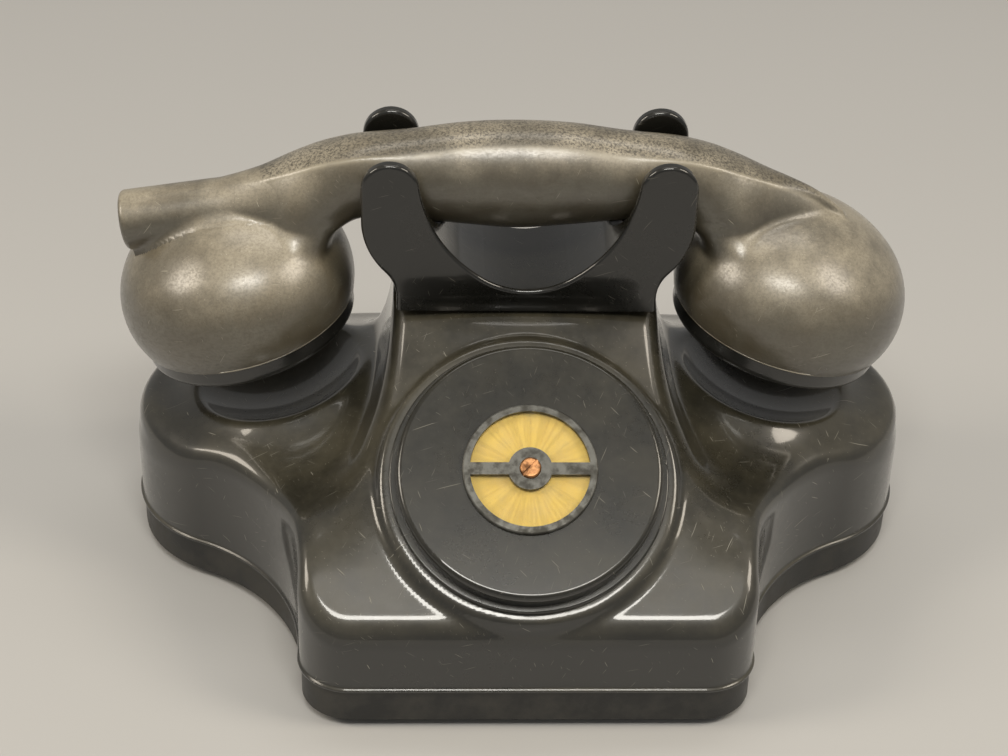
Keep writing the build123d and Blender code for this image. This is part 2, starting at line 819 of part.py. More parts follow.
# Hookswitch plungers: domed head in its seat, rod down to the lever, groove for a clip
plunger_top = notch_floor + plunger_proud
head_bottom = plunger_top - plunger_head_height
groove_bottom = plunger_bottom + groove_lift
for side, name in sides:
    seat = (side * plunger_x, grip_y)
    with BuildPart() as plunger:
        add(rod(plunger_head_radius, head_bottom, plunger_top, seat))
        fillet(plunger.edges().group_by(Axis.Z)[-1], plunger_edge_radius)
        add(rod(plunger_radius, plunger_bottom, head_bottom, seat))
        with BuildSketch(Plane.XY.offset(groove_bottom)):
            with Locations(seat):
                Circle(plunger_radius)
                Circle(groove_radius, mode=Mode.SUBTRACT)
        extrude(amount=clip_height, mode=Mode.SUBTRACT)
    plunger.part.label = f"plunger_{name}"
    export_step(plunger.part, f"parts/plunger_{name}.step")

    with BuildPart() as clip:
        with BuildSketch(Plane.XY.offset(groove_bottom)):
            with Locations(seat):
                Circle(clip_radius)
                Circle(groove_radius, mode=Mode.SUBTRACT)
                Rectangle(clip_mouth, clip_radius, align=(Align.CENTER, Align.MIN), mode=Mode.SUBTRACT)
        extrude(amount=clip_height)
    clip.part.label = f"plunger_clip_{name}"
    export_step(clip.part, f"parts/plunger_clip_{name}.step")

    with BuildPart() as spring:
        add(rod(spring_radius, pocket_floor, head_bottom, seat))
        add(rod(spring_radius - spring_wire, pocket_floor, head_bottom, seat), mode=Mode.SUBTRACT)
    spring.part.label = f"plunger_spring_{name}"
    export_step(spring.part, f"parts/plunger_spring_{name}.step")

# Hookswitch lever: bar under both plungers, two arms and the barrel on the pivot pin
bar_top = plunger_bottom - lever_gap
bar_bottom = bar_top - lever_thickness
barrel_half = lever_arm_x + lever_arm_width / 2
with BuildPart() as hookswitch_lever:
    with BuildSketch(Plane.XY.offset(bar_bottom)):
        with Locations((0, grip_y)):
            SlotOverall(2 * lever_half_length, lever_bar_width)
        with Locations((0, (lever_pivot_y + grip_y) / 2)):
            with GridLocations(2 * lever_arm_x, 0, 2, 1):
                Rectangle(lever_arm_width, grip_y - lever_pivot_y)
    extrude(amount=lever_thickness)
    with BuildSketch(Plane.YZ.offset(-barrel_half)):
        with Locations((lever_pivot_y, lever_pivot_z)):
            Circle(barrel_radius)
    extrude(amount=2 * barrel_half)
    with BuildSketch(Plane.YZ.offset(-barrel_half)):
        with Locations((lever_pivot_y, lever_pivot_z)):
            Circle(pivot_radius + running_gap)
    extrude(amount=2 * barrel_half, mode=Mode.SUBTRACT)
hookswitch_lever.part.label = "hookswitch_lever"
export_step(hookswitch_lever.part, "parts/hookswitch_lever.step")

# Hookswitch bracket: plate screwed to the roof, with two ears for the pivot pin
with BuildPart() as hookswitch_bracket:
    with BuildSketch(Plane.XY.offset(roof - bracket_thickness)):
        with Locations((0, bracket_y)):
            Rectangle(2 * bracket_half_width, bracket_depth)
            with GridLocations(2 * bracket_screw_x, 0, 2, 1):
                Circle(bracket_screw_radius, mode=Mode.SUBTRACT)
    extrude(amount=bracket_thickness)
    for start in (-bracket_half_width, bracket_half_width - bracket_thickness):
        with BuildSketch(Plane.YZ.offset(start)):
            with BuildLine():
                Polyline(
                    (bracket_y + bracket_depth / 2, roof),
                    (bracket_y - bracket_depth / 2, roof),
                    (lever_pivot_y - barrel_radius, lever_pivot_z),
                    (lever_pivot_y, lever_pivot_z - barrel_radius),
                    (lever_pivot_y + barrel_radius, lever_pivot_z),
                    close=True,
                )
            make_face()
            with Locations((lever_pivot_y, lever_pivot_z)):
                Circle(barrel_radius)
                Circle(pivot_radius, mode=Mode.SUBTRACT)
        extrude(amount=bracket_thickness)
hookswitch_bracket.part.label = "hookswitch_bracket"
export_step(hookswitch_bracket.part, "parts/hookswitch_bracket.step")

with BuildPart() as lever_pin:
    with BuildSketch(Plane.YZ.offset(-bracket_half_width - pin_spare)):
        with Locations((lever_pivot_y, lever_pivot_z)):
            Circle(pivot_radius)
    extrude(amount=2 * (bracket_half_width + pin_spare))
lever_pin.part.label = "lever_pin"
export_step(lever_pin.part, "parts/lever_pin.step")

plate_bottom = roof - bracket_thickness
with BuildPart() as bracket_screws:
    for side, _ in sides:
        place = (side * bracket_screw_x, bracket_y)
        add(rod(bracket_screw_radius, plate_bottom, bracket_screw_end, place))
        add(rod(bracket_screw_head, plate_bottom - bracket_head_height, plate_bottom, place))
bracket_screws.part.label = "bracket_screws"
export_step(bracket_screws.part, "parts/bracket_screws.step")

# Contact leaves under the lever, one above another, and the block that holds them
leaf_levels = [bar_bottom - lever_gap - leaf_thickness - turn * leaf_pitch for turn in range(leaf_count)]
with BuildPart() as contact_leaves:
    for level in leaf_levels:
        with BuildSketch(Plane.XY.offset(level)):
            with Locations((leaf_x, (leaf_tip_y + leaf_end_y) / 2)):
                Rectangle(leaf_width, leaf_end_y - leaf_tip_y)
        extrude(amount=leaf_thickness)
    for level in leaf_levels[1:]:
        place = (leaf_x, leaf_tip_y + leaf_width / 2)
        add(rod(contact_radius, level + leaf_thickness, level + leaf_thickness + contact_height, place))
contact_leaves.part.label = "contact_leaves"
export_step(contact_leaves.part, "parts/contact_leaves.step")

with BuildPart() as contact_block:
    with BuildSketch(Plane.XY.offset(leaf_levels[-1] - block_margin)):
        with Locations((leaf_x, block_y)):
            Rectangle(leaf_width + 2 * block_margin, block_depth)
    extrude(amount=roof - leaf_levels[-1] + block_margin)
    add(contact_leaves.part, mode=Mode.SUBTRACT)
contact_block.part.label = "contact_block"
export_step(contact_block.part, "parts/contact_block.step")

# Ringer frame: plate on the pan, yoke behind the coils, pad and arm for the armature pin
plate_top = floor_level + ringer_plate
coil_back_y = yoke_y + ringer_plate
with BuildPart() as ringer_frame:
    with BuildSketch(Plane.XY.offset(floor_level)):
        with Locations((0, (ringer_front_y + ringer_back_y) / 2)):
            RectangleRounded(2 * ringer_half_width, ringer_back_y - ringer_front_y, ringer_corner_radius)
        with Locations(*ringer_screw_places):
            Circle(ringer_screw_radius, mode=Mode.SUBTRACT)
    extrude(amount=ringer_plate)
    with BuildSketch(Plane.XY.offset(plate_top)):
        with Locations((0, yoke_y + ringer_plate / 2)):
            Rectangle(2 * yoke_half_width, ringer_plate)
    extrude(amount=yoke_height)
    with BuildSketch(Plane.XY.offset(plate_top)):
        with Locations((0, hinge_y)):
            Rectangle(4 * hinge_barrel, 2 * hinge_barrel)
    extrude(amount=pad_height)
    with BuildSketch(Plane.XY.offset(plate_top + yoke_height)):
        with Locations((0, (yoke_y + hinge_y + hinge_barrel) / 2)):
            Rectangle(4 * hinge_barrel, hinge_y + hinge_barrel - yoke_y)
    extrude(amount=ringer_plate)
    arm_top = plate_top + yoke_height + ringer_plate
    add(rod(hinge_radius, plate_top, arm_top, (0, hinge_y)), mode=Mode.SUBTRACT)
ringer_frame.part.label = "ringer_frame"
export_step(ringer_frame.part, "parts/ringer_frame.step")

with BuildPart() as ringer_screws:
    for place in ringer_screw_places:
        add(rod(ringer_screw_radius, foot_height, plate_top, place))
        add(rod(ringer_screw_head, plate_top, plate_top + ringer_head_height, place))
    with BuildSketch(Plane.XY.offset(plate_top + ringer_head_height)):
        with Locations(*ringer_screw_places):
            Rectangle(2 * ringer_screw_head, slot_width)
    extrude(amount=-slot_depth, mode=Mode.SUBTRACT)
ringer_screws.part.label = "ringer_screws"
export_step(ringer_screws.part, "parts/ringer_screws.step")

# Ringer coils: flanged spool full of wire, on a core that ends at a pole tip
for side, name in sides:
    back = (side * coil_x, coil_back_y, coil_z)
    front = (side * coil_x, coil_back_y + coil_length, coil_z)
    with BuildPart() as coil:
        add(bar_between(coil_radius, back, front))
        add(bar_between(coil_flange_radius, back, (back[0], back[1] + flange_thickness, coil_z)))
        add(bar_between(coil_flange_radius, (front[0], front[1] - flange_thickness, coil_z), front))
        add(bar_between(core_radius, back, front), mode=Mode.SUBTRACT)
    coil.part.label = f"ringer_coil_{name}"
    export_step(coil.part, f"parts/ringer_coil_{name}.step")

pole_y = hinge_y - armature_thickness / 2 - pole_gap
with BuildPart() as coil_cores:
    for side, _ in sides:
        add(bar_between(core_radius, (side * coil_x, coil_back_y, coil_z), (side * coil_x, pole_y, coil_z)))
coil_cores.part.label = "coil_cores"
export_step(coil_cores.part, "parts/coil_cores.step")

with BuildPart() as armature_pin:
    add(rod(hinge_radius, plate_top, arm_top, (0, hinge_y)))
armature_pin.part.label = "armature_pin"
export_step(armature_pin.part, "parts/armature_pin.step")

# Clapper: armature bar and barrel that rock on the pin, with the rod and ball between the gongs
barrel_bottom = plate_top + pad_height + running_gap
barrel_top = plate_top + yoke_height - running_gap
with BuildPart() as clapper:
    with BuildSketch(Plane.XY.offset(coil_z - armature_height / 2)):
        with Locations((0, hinge_y)):
            Rectangle(2 * armature_half_length, armature_thickness)
    extrude(amount=armature_height)
    add(rod(hinge_barrel, barrel_bottom, barrel_top, (0, hinge_y)))
    add(bar_between(clapper_rod, (0, hinge_y, clapper_z), (0, gong_y, clapper_z)))
    with Locations((0, gong_y, clapper_z)):
        Sphere(clapper_ball)
    add(rod(hinge_radius + running_gap, barrel_bottom, barrel_top, (0, hinge_y)), mode=Mode.SUBTRACT)
clapper.part.label = "clapper"
export_step(clapper.part, "parts/clapper.step")

# Gongs: thin bells open downwards, each on its post with a screw through the crown
gong_top = gong_rim_z + gong_height
gong_underside = gong_top - gong_wall
for side, name in sides:
    gong_plane = Plane(origin=(side * gong_x, gong_y, 0), x_dir=(1, 0, 0), z_dir=(0, -1, 0))
    inner_radius = gong_radius - gong_wall
    with BuildPart() as gong:
        with BuildSketch(gong_plane):
            with BuildLine():
                Line((gong_radius, gong_rim_z), (gong_radius, gong_rim_z + gong_lip))
                SagittaArc((gong_radius, gong_rim_z + gong_lip), (gong_crown_radius, gong_top), -gong_bulge)
                Line((gong_crown_radius, gong_top), (gong_screw_radius, gong_top))
                Line((gong_screw_radius, gong_top), (gong_screw_radius, gong_underside))
                Line((gong_screw_radius, gong_underside), (gong_crown_radius, gong_underside))
                inner_lip = (inner_radius, gong_rim_z + gong_lip)
                SagittaArc((gong_crown_radius, gong_underside), inner_lip, gong_bulge)
                Line(inner_lip, (inner_radius, gong_rim_z))
                Line((inner_radius, gong_rim_z), (gong_radius, gong_rim_z))
            make_face()
        revolve(axis=Axis((side * gong_x, gong_y, 0), (0, 0, 1)))
    gong.part.label = f"gong_{name}"
    export_step(gong.part, f"parts/gong_{name}.step")

with BuildPart() as gong_posts:
    for side, _ in sides:
        place = (side * gong_x, gong_y)
        add(rod(gong_post_radius, plate_top, gong_underside, place))
        thread_bottom = gong_underside - gong_screw_depth
        add(rod(gong_screw_radius, thread_bottom, gong_underside, place), mode=Mode.SUBTRACT)
gong_posts.part.label = "gong_posts"
export_step(gong_posts.part, "parts/gong_posts.step")

with BuildPart() as gong_screws:
    for side, _ in sides:
        place = (side * gong_x, gong_y)
        add(rod(gong_screw_radius, thread_bottom, gong_top, place))
        add(rod(gong_screw_head, gong_top, gong_top + gong_head_height, place))
        with BuildSketch(Plane.XY.offset(gong_top + gong_head_height)):
            with Locations(place):
                Rectangle(2 * gong_screw_head, slot_width)
        extrude(amount=-slot_depth, mode=Mode.SUBTRACT)
gong_screws.part.label = "gong_screws"
export_step(gong_screws.part, "parts/gong_screws.step")

# Induction coil: winding on an iron core between two square end plates that stand on the pan
coil_level = floor_level + end_plate / 2
winding_start = induction_y - winding_length / 2
winding_end = induction_y + winding_length / 2
core_line = (
    (induction_x, winding_start - end_plate_thickness, coil_level),
    (induction_x, winding_end + end_plate_thickness, coil_level),
)
with BuildPart() as induction_coil:
    winding_line = ((induction_x, winding_start, coil_level), (induction_x, winding_end, coil_level))
    add(bar_between(winding_radius, *winding_line))
    add(bar_between(core_radius, *core_line), mode=Mode.SUBTRACT)
induction_coil.part.label = "induction_coil"
export_step(induction_coil.part, "parts/induction_coil.step")

with BuildPart() as induction_coil_ends:
    for start in (winding_start - end_plate_thickness, winding_end):
        end_plane = Plane(origin=(induction_x, start, coil_level), x_dir=(1, 0, 0), z_dir=(0, 1, 0))
        with BuildSketch(end_plane):
            Rectangle(end_plate, end_plate)
            Circle(core_radius, mode=Mode.SUBTRACT)
        extrude(amount=end_plate_thickness)
induction_coil_ends.part.label = "induction_coil_ends"
export_step(induction_coil_ends.part, "parts/induction_coil_ends.step")

with BuildPart() as induction_core:
    add(bar_between(core_radius, *core_line))
induction_core.part.label = "induction_core"
export_step(induction_core.part, "parts/induction_core.step")

# Condenser: folded metal can under a strap
with BuildPart() as condenser:
    with BuildSketch(Plane.XY.offset(floor_level)):
        with Locations((condenser_x, induction_y)):
            RectangleRounded(condenser_width, condenser_length, condenser_edge_radius)
    extrude(amount=condenser_height)
    fillet(condenser.edges().group_by(Axis.Z)[-1], condenser_edge_radius / 2)
condenser.part.label = "condenser"
export_step(condenser.part, "parts/condenser.step")

strap_plane = Plane(
    origin=(condenser_x, induction_y + strap_width / 2, floor_level), x_dir=(1, 0, 0), z_dir=(0, -1, 0)
)
with BuildPart() as condenser_strap:
    with BuildSketch(strap_plane):
        with Locations((0, strap_thickness / 2)):
            Rectangle(condenser_width + 2 * (strap_thickness + strap_foot), strap_thickness)
        with Locations((0, (condenser_height + strap_thickness) / 2)):
            Rectangle(condenser_width + 2 * strap_thickness, condenser_height + strap_thickness)
        with Locations((0, condenser_height / 2)):
            Rectangle(condenser_width, condenser_height, mode=Mode.SUBTRACT)
    extrude(amount=strap_width)
condenser_strap.part.label = "condenser_strap"
export_step(condenser_strap.part, "parts/condenser_strap.step")

# Terminal board on two standoffs, with a row of terminal screws
board_top = board_level + board_thickness
standoff_places = [(-standoff_x, board_y), (standoff_x, board_y)]
standoff_middle = (floor_level + board_level) / 2
with BuildPart() as terminal_board:
    with BuildSketch(Plane.XY.offset(board_level)):
        with Locations((0, board_y)):
            Rectangle(2 * board_half_length, board_width)
            with GridLocations(board_screw_pitch, 0, board_screws, 1):
                Circle(board_screw_radius, mode=Mode.SUBTRACT)
        with Locations(*standoff_places):
            Circle(board_screw_radius, mode=Mode.SUBTRACT)
    extrude(amount=board_thickness)
terminal_board.part.label = "terminal_board"
export_step(terminal_board.part, "parts/terminal_board.step")

with BuildPart() as board_standoffs:
    for place in standoff_places:
        add(rod(standoff_radius, floor_level, board_level, place))
        add(rod(board_screw_radius, standoff_middle, board_level, place), mode=Mode.SUBTRACT)
board_standoffs.part.label = "board_standoffs"
export_step(board_standoffs.part, "parts/board_standoffs.step")

with BuildPart() as board_screw_set:
    with BuildSketch(Plane.XY.offset(board_level)):
        with Locations((0, board_y)):
            with GridLocations(board_screw_pitch, 0, board_screws, 1):
                Circle(board_screw_radius)
    extrude(amount=board_thickness)
    with BuildSketch(Plane.XY.offset(board_top)):
        with Locations((0, board_y)):
            with GridLocations(board_screw_pitch, 0, board_screws, 1):
                Circle(board_screw_head)
    extrude(amount=board_head_height)
    for place in standoff_places:
        add(rod(board_screw_radius, standoff_middle, board_top, place))
        add(rod(board_screw_head, board_top, board_top + board_head_height, place))
board_screw_set.part.label = "board_screws"
export_step(board_screw_set.part, "parts/board_screws.step")


def dome_plane(side, height):
    """Plane square to a dome's axis, at a height along it from the dome's middle."""
    tilt = radians(dome_tilt)
    axis = (side * sin(tilt), 0, cos(tilt))
    origin = (handset_x + side * dome_offset + height * axis[0], grip_y, dome_z + height * axis[2])
    return Plane(origin=origin, x_dir=(cos(tilt), 0, -side * sin(tilt)), z_dir=axis)


def dome_form(side):
    """Outside of a handset dome: side arc and crown arc turned about its axis, cut off at the rim."""
    rim_angle = degrees(asin(rim_drop / dome_side_radius))
    with BuildPart() as dome:
        with BuildSketch(dome_section(side)):
            with BuildLine():
                bulge = CenterArc((side_centre, 0), dome_side_radius, -rim_angle, rim_angle + crown_angle)
                crown = CenterArc((0, dome_rise - crown_radius), crown_radius, crown_angle, 90 - crown_angle)
                Polyline(crown @ 1, (0, -rim_drop), bulge @ 0)
            make_face()
        revolve(axis=dome_axis(side))
    return dome.part


def dome_hollow(side):
    """Hollow of a dome: the bore for the cap's neck, then the chamber for the capsule."""
    inner_side = dome_side_radius - dome_wall
    inner_crown = crown_radius - dome_wall
    chamber_angle = degrees(acos((chamber_radius - side_centre) / inner_side))
    with BuildPart() as hollow:
        with BuildSketch(dome_section(side)):
            with BuildLine():
                bulge = CenterArc((side_centre, 0), inner_side, chamber_angle, crown_angle - chamber_angle)
                crown = CenterArc((0, dome_rise - crown_radius), inner_crown, crown_angle, 90 - crown_angle)
                Polyline(
                    crown @ 1,
                    (0, -rim_drop),
                    (thread_radius, -rim_drop),
                    (thread_radius, shoulder),
                    (chamber_radius, shoulder),
                    bulge @ 0,
                )
            make_face()
        revolve(axis=dome_axis(side))
    return hollow.part


def grip_section(distance, level, top, bottom, half_width, shoulder, corner):
    """Cross section of the grip: four arcs that meet at its shoulders and lower corners."""
    place = Plane(origin=(handset_x + distance, grip_y, level), x_dir=(0, 1, 0), z_dir=(1, 0, 0))
    with BuildSketch(place) as section:
        with BuildLine():
            ThreePointArc((-shoulder[0], shoulder[1]), (0, top), shoulder)
            ThreePointArc(shoulder, (half_width, 0), corner)
            ThreePointArc(corner, (0, -bottom), (-corner[0], corner[1]))
            ThreePointArc((-corner[0], corner[1]), (-half_width, 0), (-shoulder[0], shoulder[1]))
        make_face()
    return section.sketch


def spout_point(depth):
    """Point on the axis of the cord spout, at a depth from its open end."""
    tilt = radians(spout_tilt)
    return (handset_x - spout_reach + depth * cos(tilt), grip_y, spout_z + depth * sin(tilt))


def grip_form():
    """Grip of the handset, its ends buried in the domes."""
    left_half = [(-section[0], *section[1:]) for section in grip_sections[:0:-1]]
    with BuildPart() as grip:
        loft([grip_section(*section) for section in left_half + grip_sections])
    return grip.part


# Handset: two hollow domes joined by the grip, with the cord spout on the mouthpiece end
shoulder = thread_depth - rim_drop
side_centre = dome_radius - dome_side_radius
crown_radius = (dome_rise**2 + side_centre**2 - dome_side_radius**2) / (2 * (dome_rise - dome_side_radius))
crown_angle = degrees(atan2(crown_radius - dome_rise, side_centre))
spout_end = spout_point(0)
with BuildPart() as handset_solid:
    add(grip_form())
    for side, _ in sides:
        add(dome_form(side))
    add(bar_between(spout_radius, spout_end, spout_point(spout_length)))

passage_bends = [(handset_x + side * passage_bend_x, grip_y, passage_bend_z) for side, _ in sides]
with BuildPart() as handset:
    add(handset_solid.part)
    for side, _ in sides:
        add(dome_hollow(side), mode=Mode.SUBTRACT)
    for (side, _), bend in zip(sides, passage_bends):
        chamber = tuple(dome_plane(side, passage_start).origin)
        add(bar_between(passage_radius, chamber, bend), mode=Mode.SUBTRACT)
    add(bar_between(passage_radius, *passage_bends), mode=Mode.SUBTRACT)
    bore_end = spout_point(spout_bore_length)
    add(bar_between(spout_bore_radius, spout_end, bore_end), mode=Mode.SUBTRACT)
    add(bar_between(spout_inner_radius, bore_end, spout_point(spout_length)), mode=Mode.SUBTRACT)
handset.part.label = "handset"
export_step(handset.part, "parts/handset.step")

# Caps that screw into the domes, and the capsule that each holds against the shoulder
cap_top = -rim_drop - cap_seat_gap
cap_bottom = cap_top - cap_height
flange_bottom = shoulder - flange_height
neck_radius = thread_radius - thread_gap
for side, cap_name, unit_name, circles in (
    (-1, "mouthpiece", "transmitter_unit", mouthpiece_hole_circles),
    (1, "receiver_cap", "receiver_unit", receiver_hole_circles),
):
    with BuildPart() as cap:
        with BuildSketch(dome_section(side)):
            with BuildLine():
                face_arc = ThreePointArc(
                    (0, cap_bottom + cap_hollow),
                    (cap_radius / 2, cap_bottom + cap_hollow * 0.75),
                    (cap_radius - cap_edge_radius, cap_bottom),
                )
                edge_arc = CenterArc(
                    (cap_radius - cap_edge_radius, cap_bottom + cap_edge_radius), cap_edge_radius, -90, 90
                )
                Polyline(
                    edge_arc @ 1,
                    (cap_radius, cap_top),
                    (neck_radius, cap_top),
                    (neck_radius, flange_bottom),
                    (neck_radius - cap_neck_wall, flange_bottom),
                    (neck_radius - cap_neck_wall, cap_bottom + cap_hollow + cap_face_wall),
                    (0, cap_bottom + cap_hollow + cap_face_wall),
                    face_arc @ 0,
                )
            make_face()
        revolve(axis=dome_axis(side))
        with BuildSketch(dome_plane(side, cap_bottom)):
            Circle(sound_hole_radius)
            for number, circle_radius in enumerate(circles, start=1):
                with PolarLocations(circle_radius, number * first_circle_holes):
                    Circle(sound_hole_radius)
        extrude(amount=cap_hollow + cap_face_wall, mode=Mode.SUBTRACT)
    cap.part.label = cap_name
    export_step(cap.part, f"parts/{cap_name}.step")

    with BuildPart() as unit:
        with BuildSketch(dome_plane(side, flange_bottom)):
            Circle(neck_radius)
        extrude(amount=flange_height)
        with BuildSketch(dome_plane(side, shoulder)):
            Circle(capsule_radius)
        extrude(amount=capsule_height)
        fillet(unit.edges().group_by(dome_axis(side))[-1], capsule_edge_radius)
        with BuildSketch(dome_plane(side, flange_bottom)):
            Circle(neck_radius - cap_neck_wall)
        extrude(amount=flange_height / 2, mode=Mode.SUBTRACT)
    unit.part.label = unit_name
    export_step(unit.part, f"parts/{unit_name}.step")
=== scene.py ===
import math

import bpy
import numpy as np
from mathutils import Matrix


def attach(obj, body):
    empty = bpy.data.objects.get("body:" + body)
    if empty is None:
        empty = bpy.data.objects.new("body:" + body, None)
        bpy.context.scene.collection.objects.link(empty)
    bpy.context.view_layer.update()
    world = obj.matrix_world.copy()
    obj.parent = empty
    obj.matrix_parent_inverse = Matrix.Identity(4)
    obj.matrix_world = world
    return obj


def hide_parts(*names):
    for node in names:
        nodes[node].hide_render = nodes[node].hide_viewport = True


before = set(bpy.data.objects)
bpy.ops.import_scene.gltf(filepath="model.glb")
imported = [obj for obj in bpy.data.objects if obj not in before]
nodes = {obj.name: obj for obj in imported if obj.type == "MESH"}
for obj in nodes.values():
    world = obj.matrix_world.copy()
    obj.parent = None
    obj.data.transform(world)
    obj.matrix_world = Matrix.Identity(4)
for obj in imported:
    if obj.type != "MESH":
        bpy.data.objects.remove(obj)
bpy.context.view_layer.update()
mm = 0.001
print("stage: frame loaded")


# camera and room

camera = {
    "azimuth": -2.5,              # degrees, turned about the upright axis
    "elevation": 35.0,
    "roll": 1.654,
    "target": (-0.00408, 0.06111, 0.035),
    "distance": 0.8,
    "focalPixels": 2331.3,        # focal length, in pixels of the photograph
    "frameWidth": 1008,
    "sensorWidth": 36.0,
}


def makeCamera(s):
    # The view axis leans back by the elevation, and the image's axes turn about it by the roll.
    turn, rise, roll = (math.radians(s[key]) for key in ("azimuth", "elevation", "roll"))
    back = np.array([math.sin(turn) * math.cos(rise), -math.cos(turn) * math.cos(rise), math.sin(rise)])
    level = np.array([math.cos(turn), math.sin(turn), 0.0])
    upright = np.cross(back, level)
    right = math.cos(roll) * level + math.sin(roll) * upright
    up = math.cos(roll) * upright - math.sin(roll) * level
    data = bpy.data.cameras.new("camera")
    data.sensor_fit = "HORIZONTAL"
    data.sensor_width = s["sensorWidth"]
    data.lens = s["focalPixels"] / s["frameWidth"] * s["sensorWidth"]
    data.clip_start = 0.01
    data.clip_end = 50
    obj = bpy.data.objects.new("camera", data)
    place = np.array(s["target"]) + s["distance"] * back
    matrix = np.eye(4)
    matrix[:3, 0] = right
    matrix[:3, 1] = up
    matrix[:3, 2] = back
    matrix[:3, 3] = place
    obj.matrix_world = matrix.T.tolist()
    bpy.context.scene.collection.objects.link(obj)
    bpy.context.scene.camera = obj


makeCamera(camera)
bpy.context.scene.view_settings.view_transform = "Standard"

# softboxes: place, the point they face, width, depth, power in watts and colour
softboxes = [
    ("middleSoftbox", (0.0, -0.68, 1.18), (0.0, 0.0, 0.08), 0.55, 0.24, 6.4, (1.0, 0.97, 0.9)),
    ("leftSoftbox", (-1.0, -0.2, 0.87), (0.0, 0.0, 0.08), 0.5, 0.4, 4.8, (1.0, 0.9, 0.76)),
    ("rightSoftbox", (0.86, -0.27, 1.0), (0.0, 0.0, 0.08), 0.5, 0.4, 4.8, (1.0, 0.9, 0.76)),
    ("backSoftbox", (0.06, 0.34, 1.33), (0.0, 0.0, 0.08), 1.0, 0.3, 2.2, (1.0, 0.96, 0.9)),
]


def makeSoftbox(name, place, aim, width, depth, power, colour):
    data = bpy.data.lights.new(name, "AREA")
    data.shape = "RECTANGLE"
    data.size = width
    data.size_y = depth
    data.energy = power
    data.color = colour
    obj = bpy.data.objects.new(name, data)
    back = np.array(place) - np.array(aim)
    back = back / np.linalg.norm(back)
    right = np.cross((0.0, 1.0, 0.0), back)
    right = right / np.linalg.norm(right)
    matrix = np.eye(4)
    matrix[:3, 0] = right
    matrix[:3, 1] = np.cross(back, right)
    matrix[:3, 2] = back
    matrix[:3, 3] = place
    obj.matrix_world = matrix.T.tolist()
    bpy.context.scene.collection.objects.link(obj)


for softbox in softboxes:
    makeSoftbox(*softbox)


# node helpers

def addNode(tree, kind, place, **values):
    node = tree.nodes.new(kind)
    node.location = place
    for key, value in values.items():
        if hasattr(node, key):
            setattr(node, key, value)
        else:
            node.inputs[key].default_value = value
    return node


def join(tree, source, target):
    tree.links.new(source, target)


def mathNode(tree, operation, place, first, second=None, clamp=False):
    node = addNode(tree, "ShaderNodeMath", place, operation=operation, use_clamp=clamp)
    for socket, value in zip(node.inputs, (first, second)):
        if value is None:
            continue
        if isinstance(value, (int, float)):
            socket.default_value = value
        else:
            tree.links.new(value, socket)
    return node.outputs[0]


def spanNode(tree, place, value, low, high, toLow=0.0, toHigh=1.0):
    # Smooth step from toLow to toHigh while the value goes from low to high.
    node = addNode(tree, "ShaderNodeMapRange", place, interpolation_type="SMOOTHSTEP")
    node.inputs["From Min"].default_value = low
    node.inputs["From Max"].default_value = high
    node.inputs["To Min"].default_value = toLow
    node.inputs["To Max"].default_value = toHigh
    tree.links.new(value, node.inputs["Value"])
    return node.outputs["Result"]


def mixColour(tree, place, factor, first, second):
    node = addNode(tree, "ShaderNodeMix", place, data_type="RGBA")
    for socket, value in ((node.inputs[0], factor), (node.inputs[6], first), (node.inputs[7], second)):
        if isinstance(value, (int, float)):
            socket.default_value = value
        elif isinstance(value, tuple):
            socket.default_value = (*value, 1.0)
        else:
            tree.links.new(value, socket)
    return node.outputs[2]


def noiseNode(tree, place, vector, scale, detail=4.0, roughness=0.55, distortion=0.0):
    node = addNode(tree, "ShaderNodeTexNoise", place)
    node.inputs["Scale"].default_value = scale
    node.inputs["Detail"].default_value = detail
    node.inputs["Roughness"].default_value = roughness
    node.inputs["Distortion"].default_value = distortion
    tree.links.new(vector, node.inputs["Vector"])
    return node.outputs["Fac"]


def makeGroup(name, inputs, outputs):
    tree = bpy.data.node_groups.new(name, "ShaderNodeTree")
    for label, kind, value in inputs:
        socket = tree.interface.new_socket(name=label, in_out="INPUT", socket_type=kind)
        if value is not None:
            socket.default_value = value
    for label, kind in outputs:
        tree.interface.new_socket(name=label, in_out="OUTPUT", socket_type=kind)
    source = addNode(tree, "NodeGroupInput", (-1200, 0))
    sink = addNode(tree, "NodeGroupOutput", (1000, 0))
    return tree, source.outputs, sink.inputs


def vectorMath(tree, operation, place, first, second=None, scale=None):
    node = addNode(tree, "ShaderNodeVectorMath", place, operation=operation)
    for socket, value in zip(node.inputs, (first, second)):
        if value is None:
            continue
        if isinstance(value, tuple):
            socket.default_value = value
        else:
            tree.links.new(value, socket)
    if scale is not None:
        node.inputs["Scale"].default_value = scale
    return node.outputs["Value" if operation in ("DOT_PRODUCT", "DISTANCE") else "Vector"]


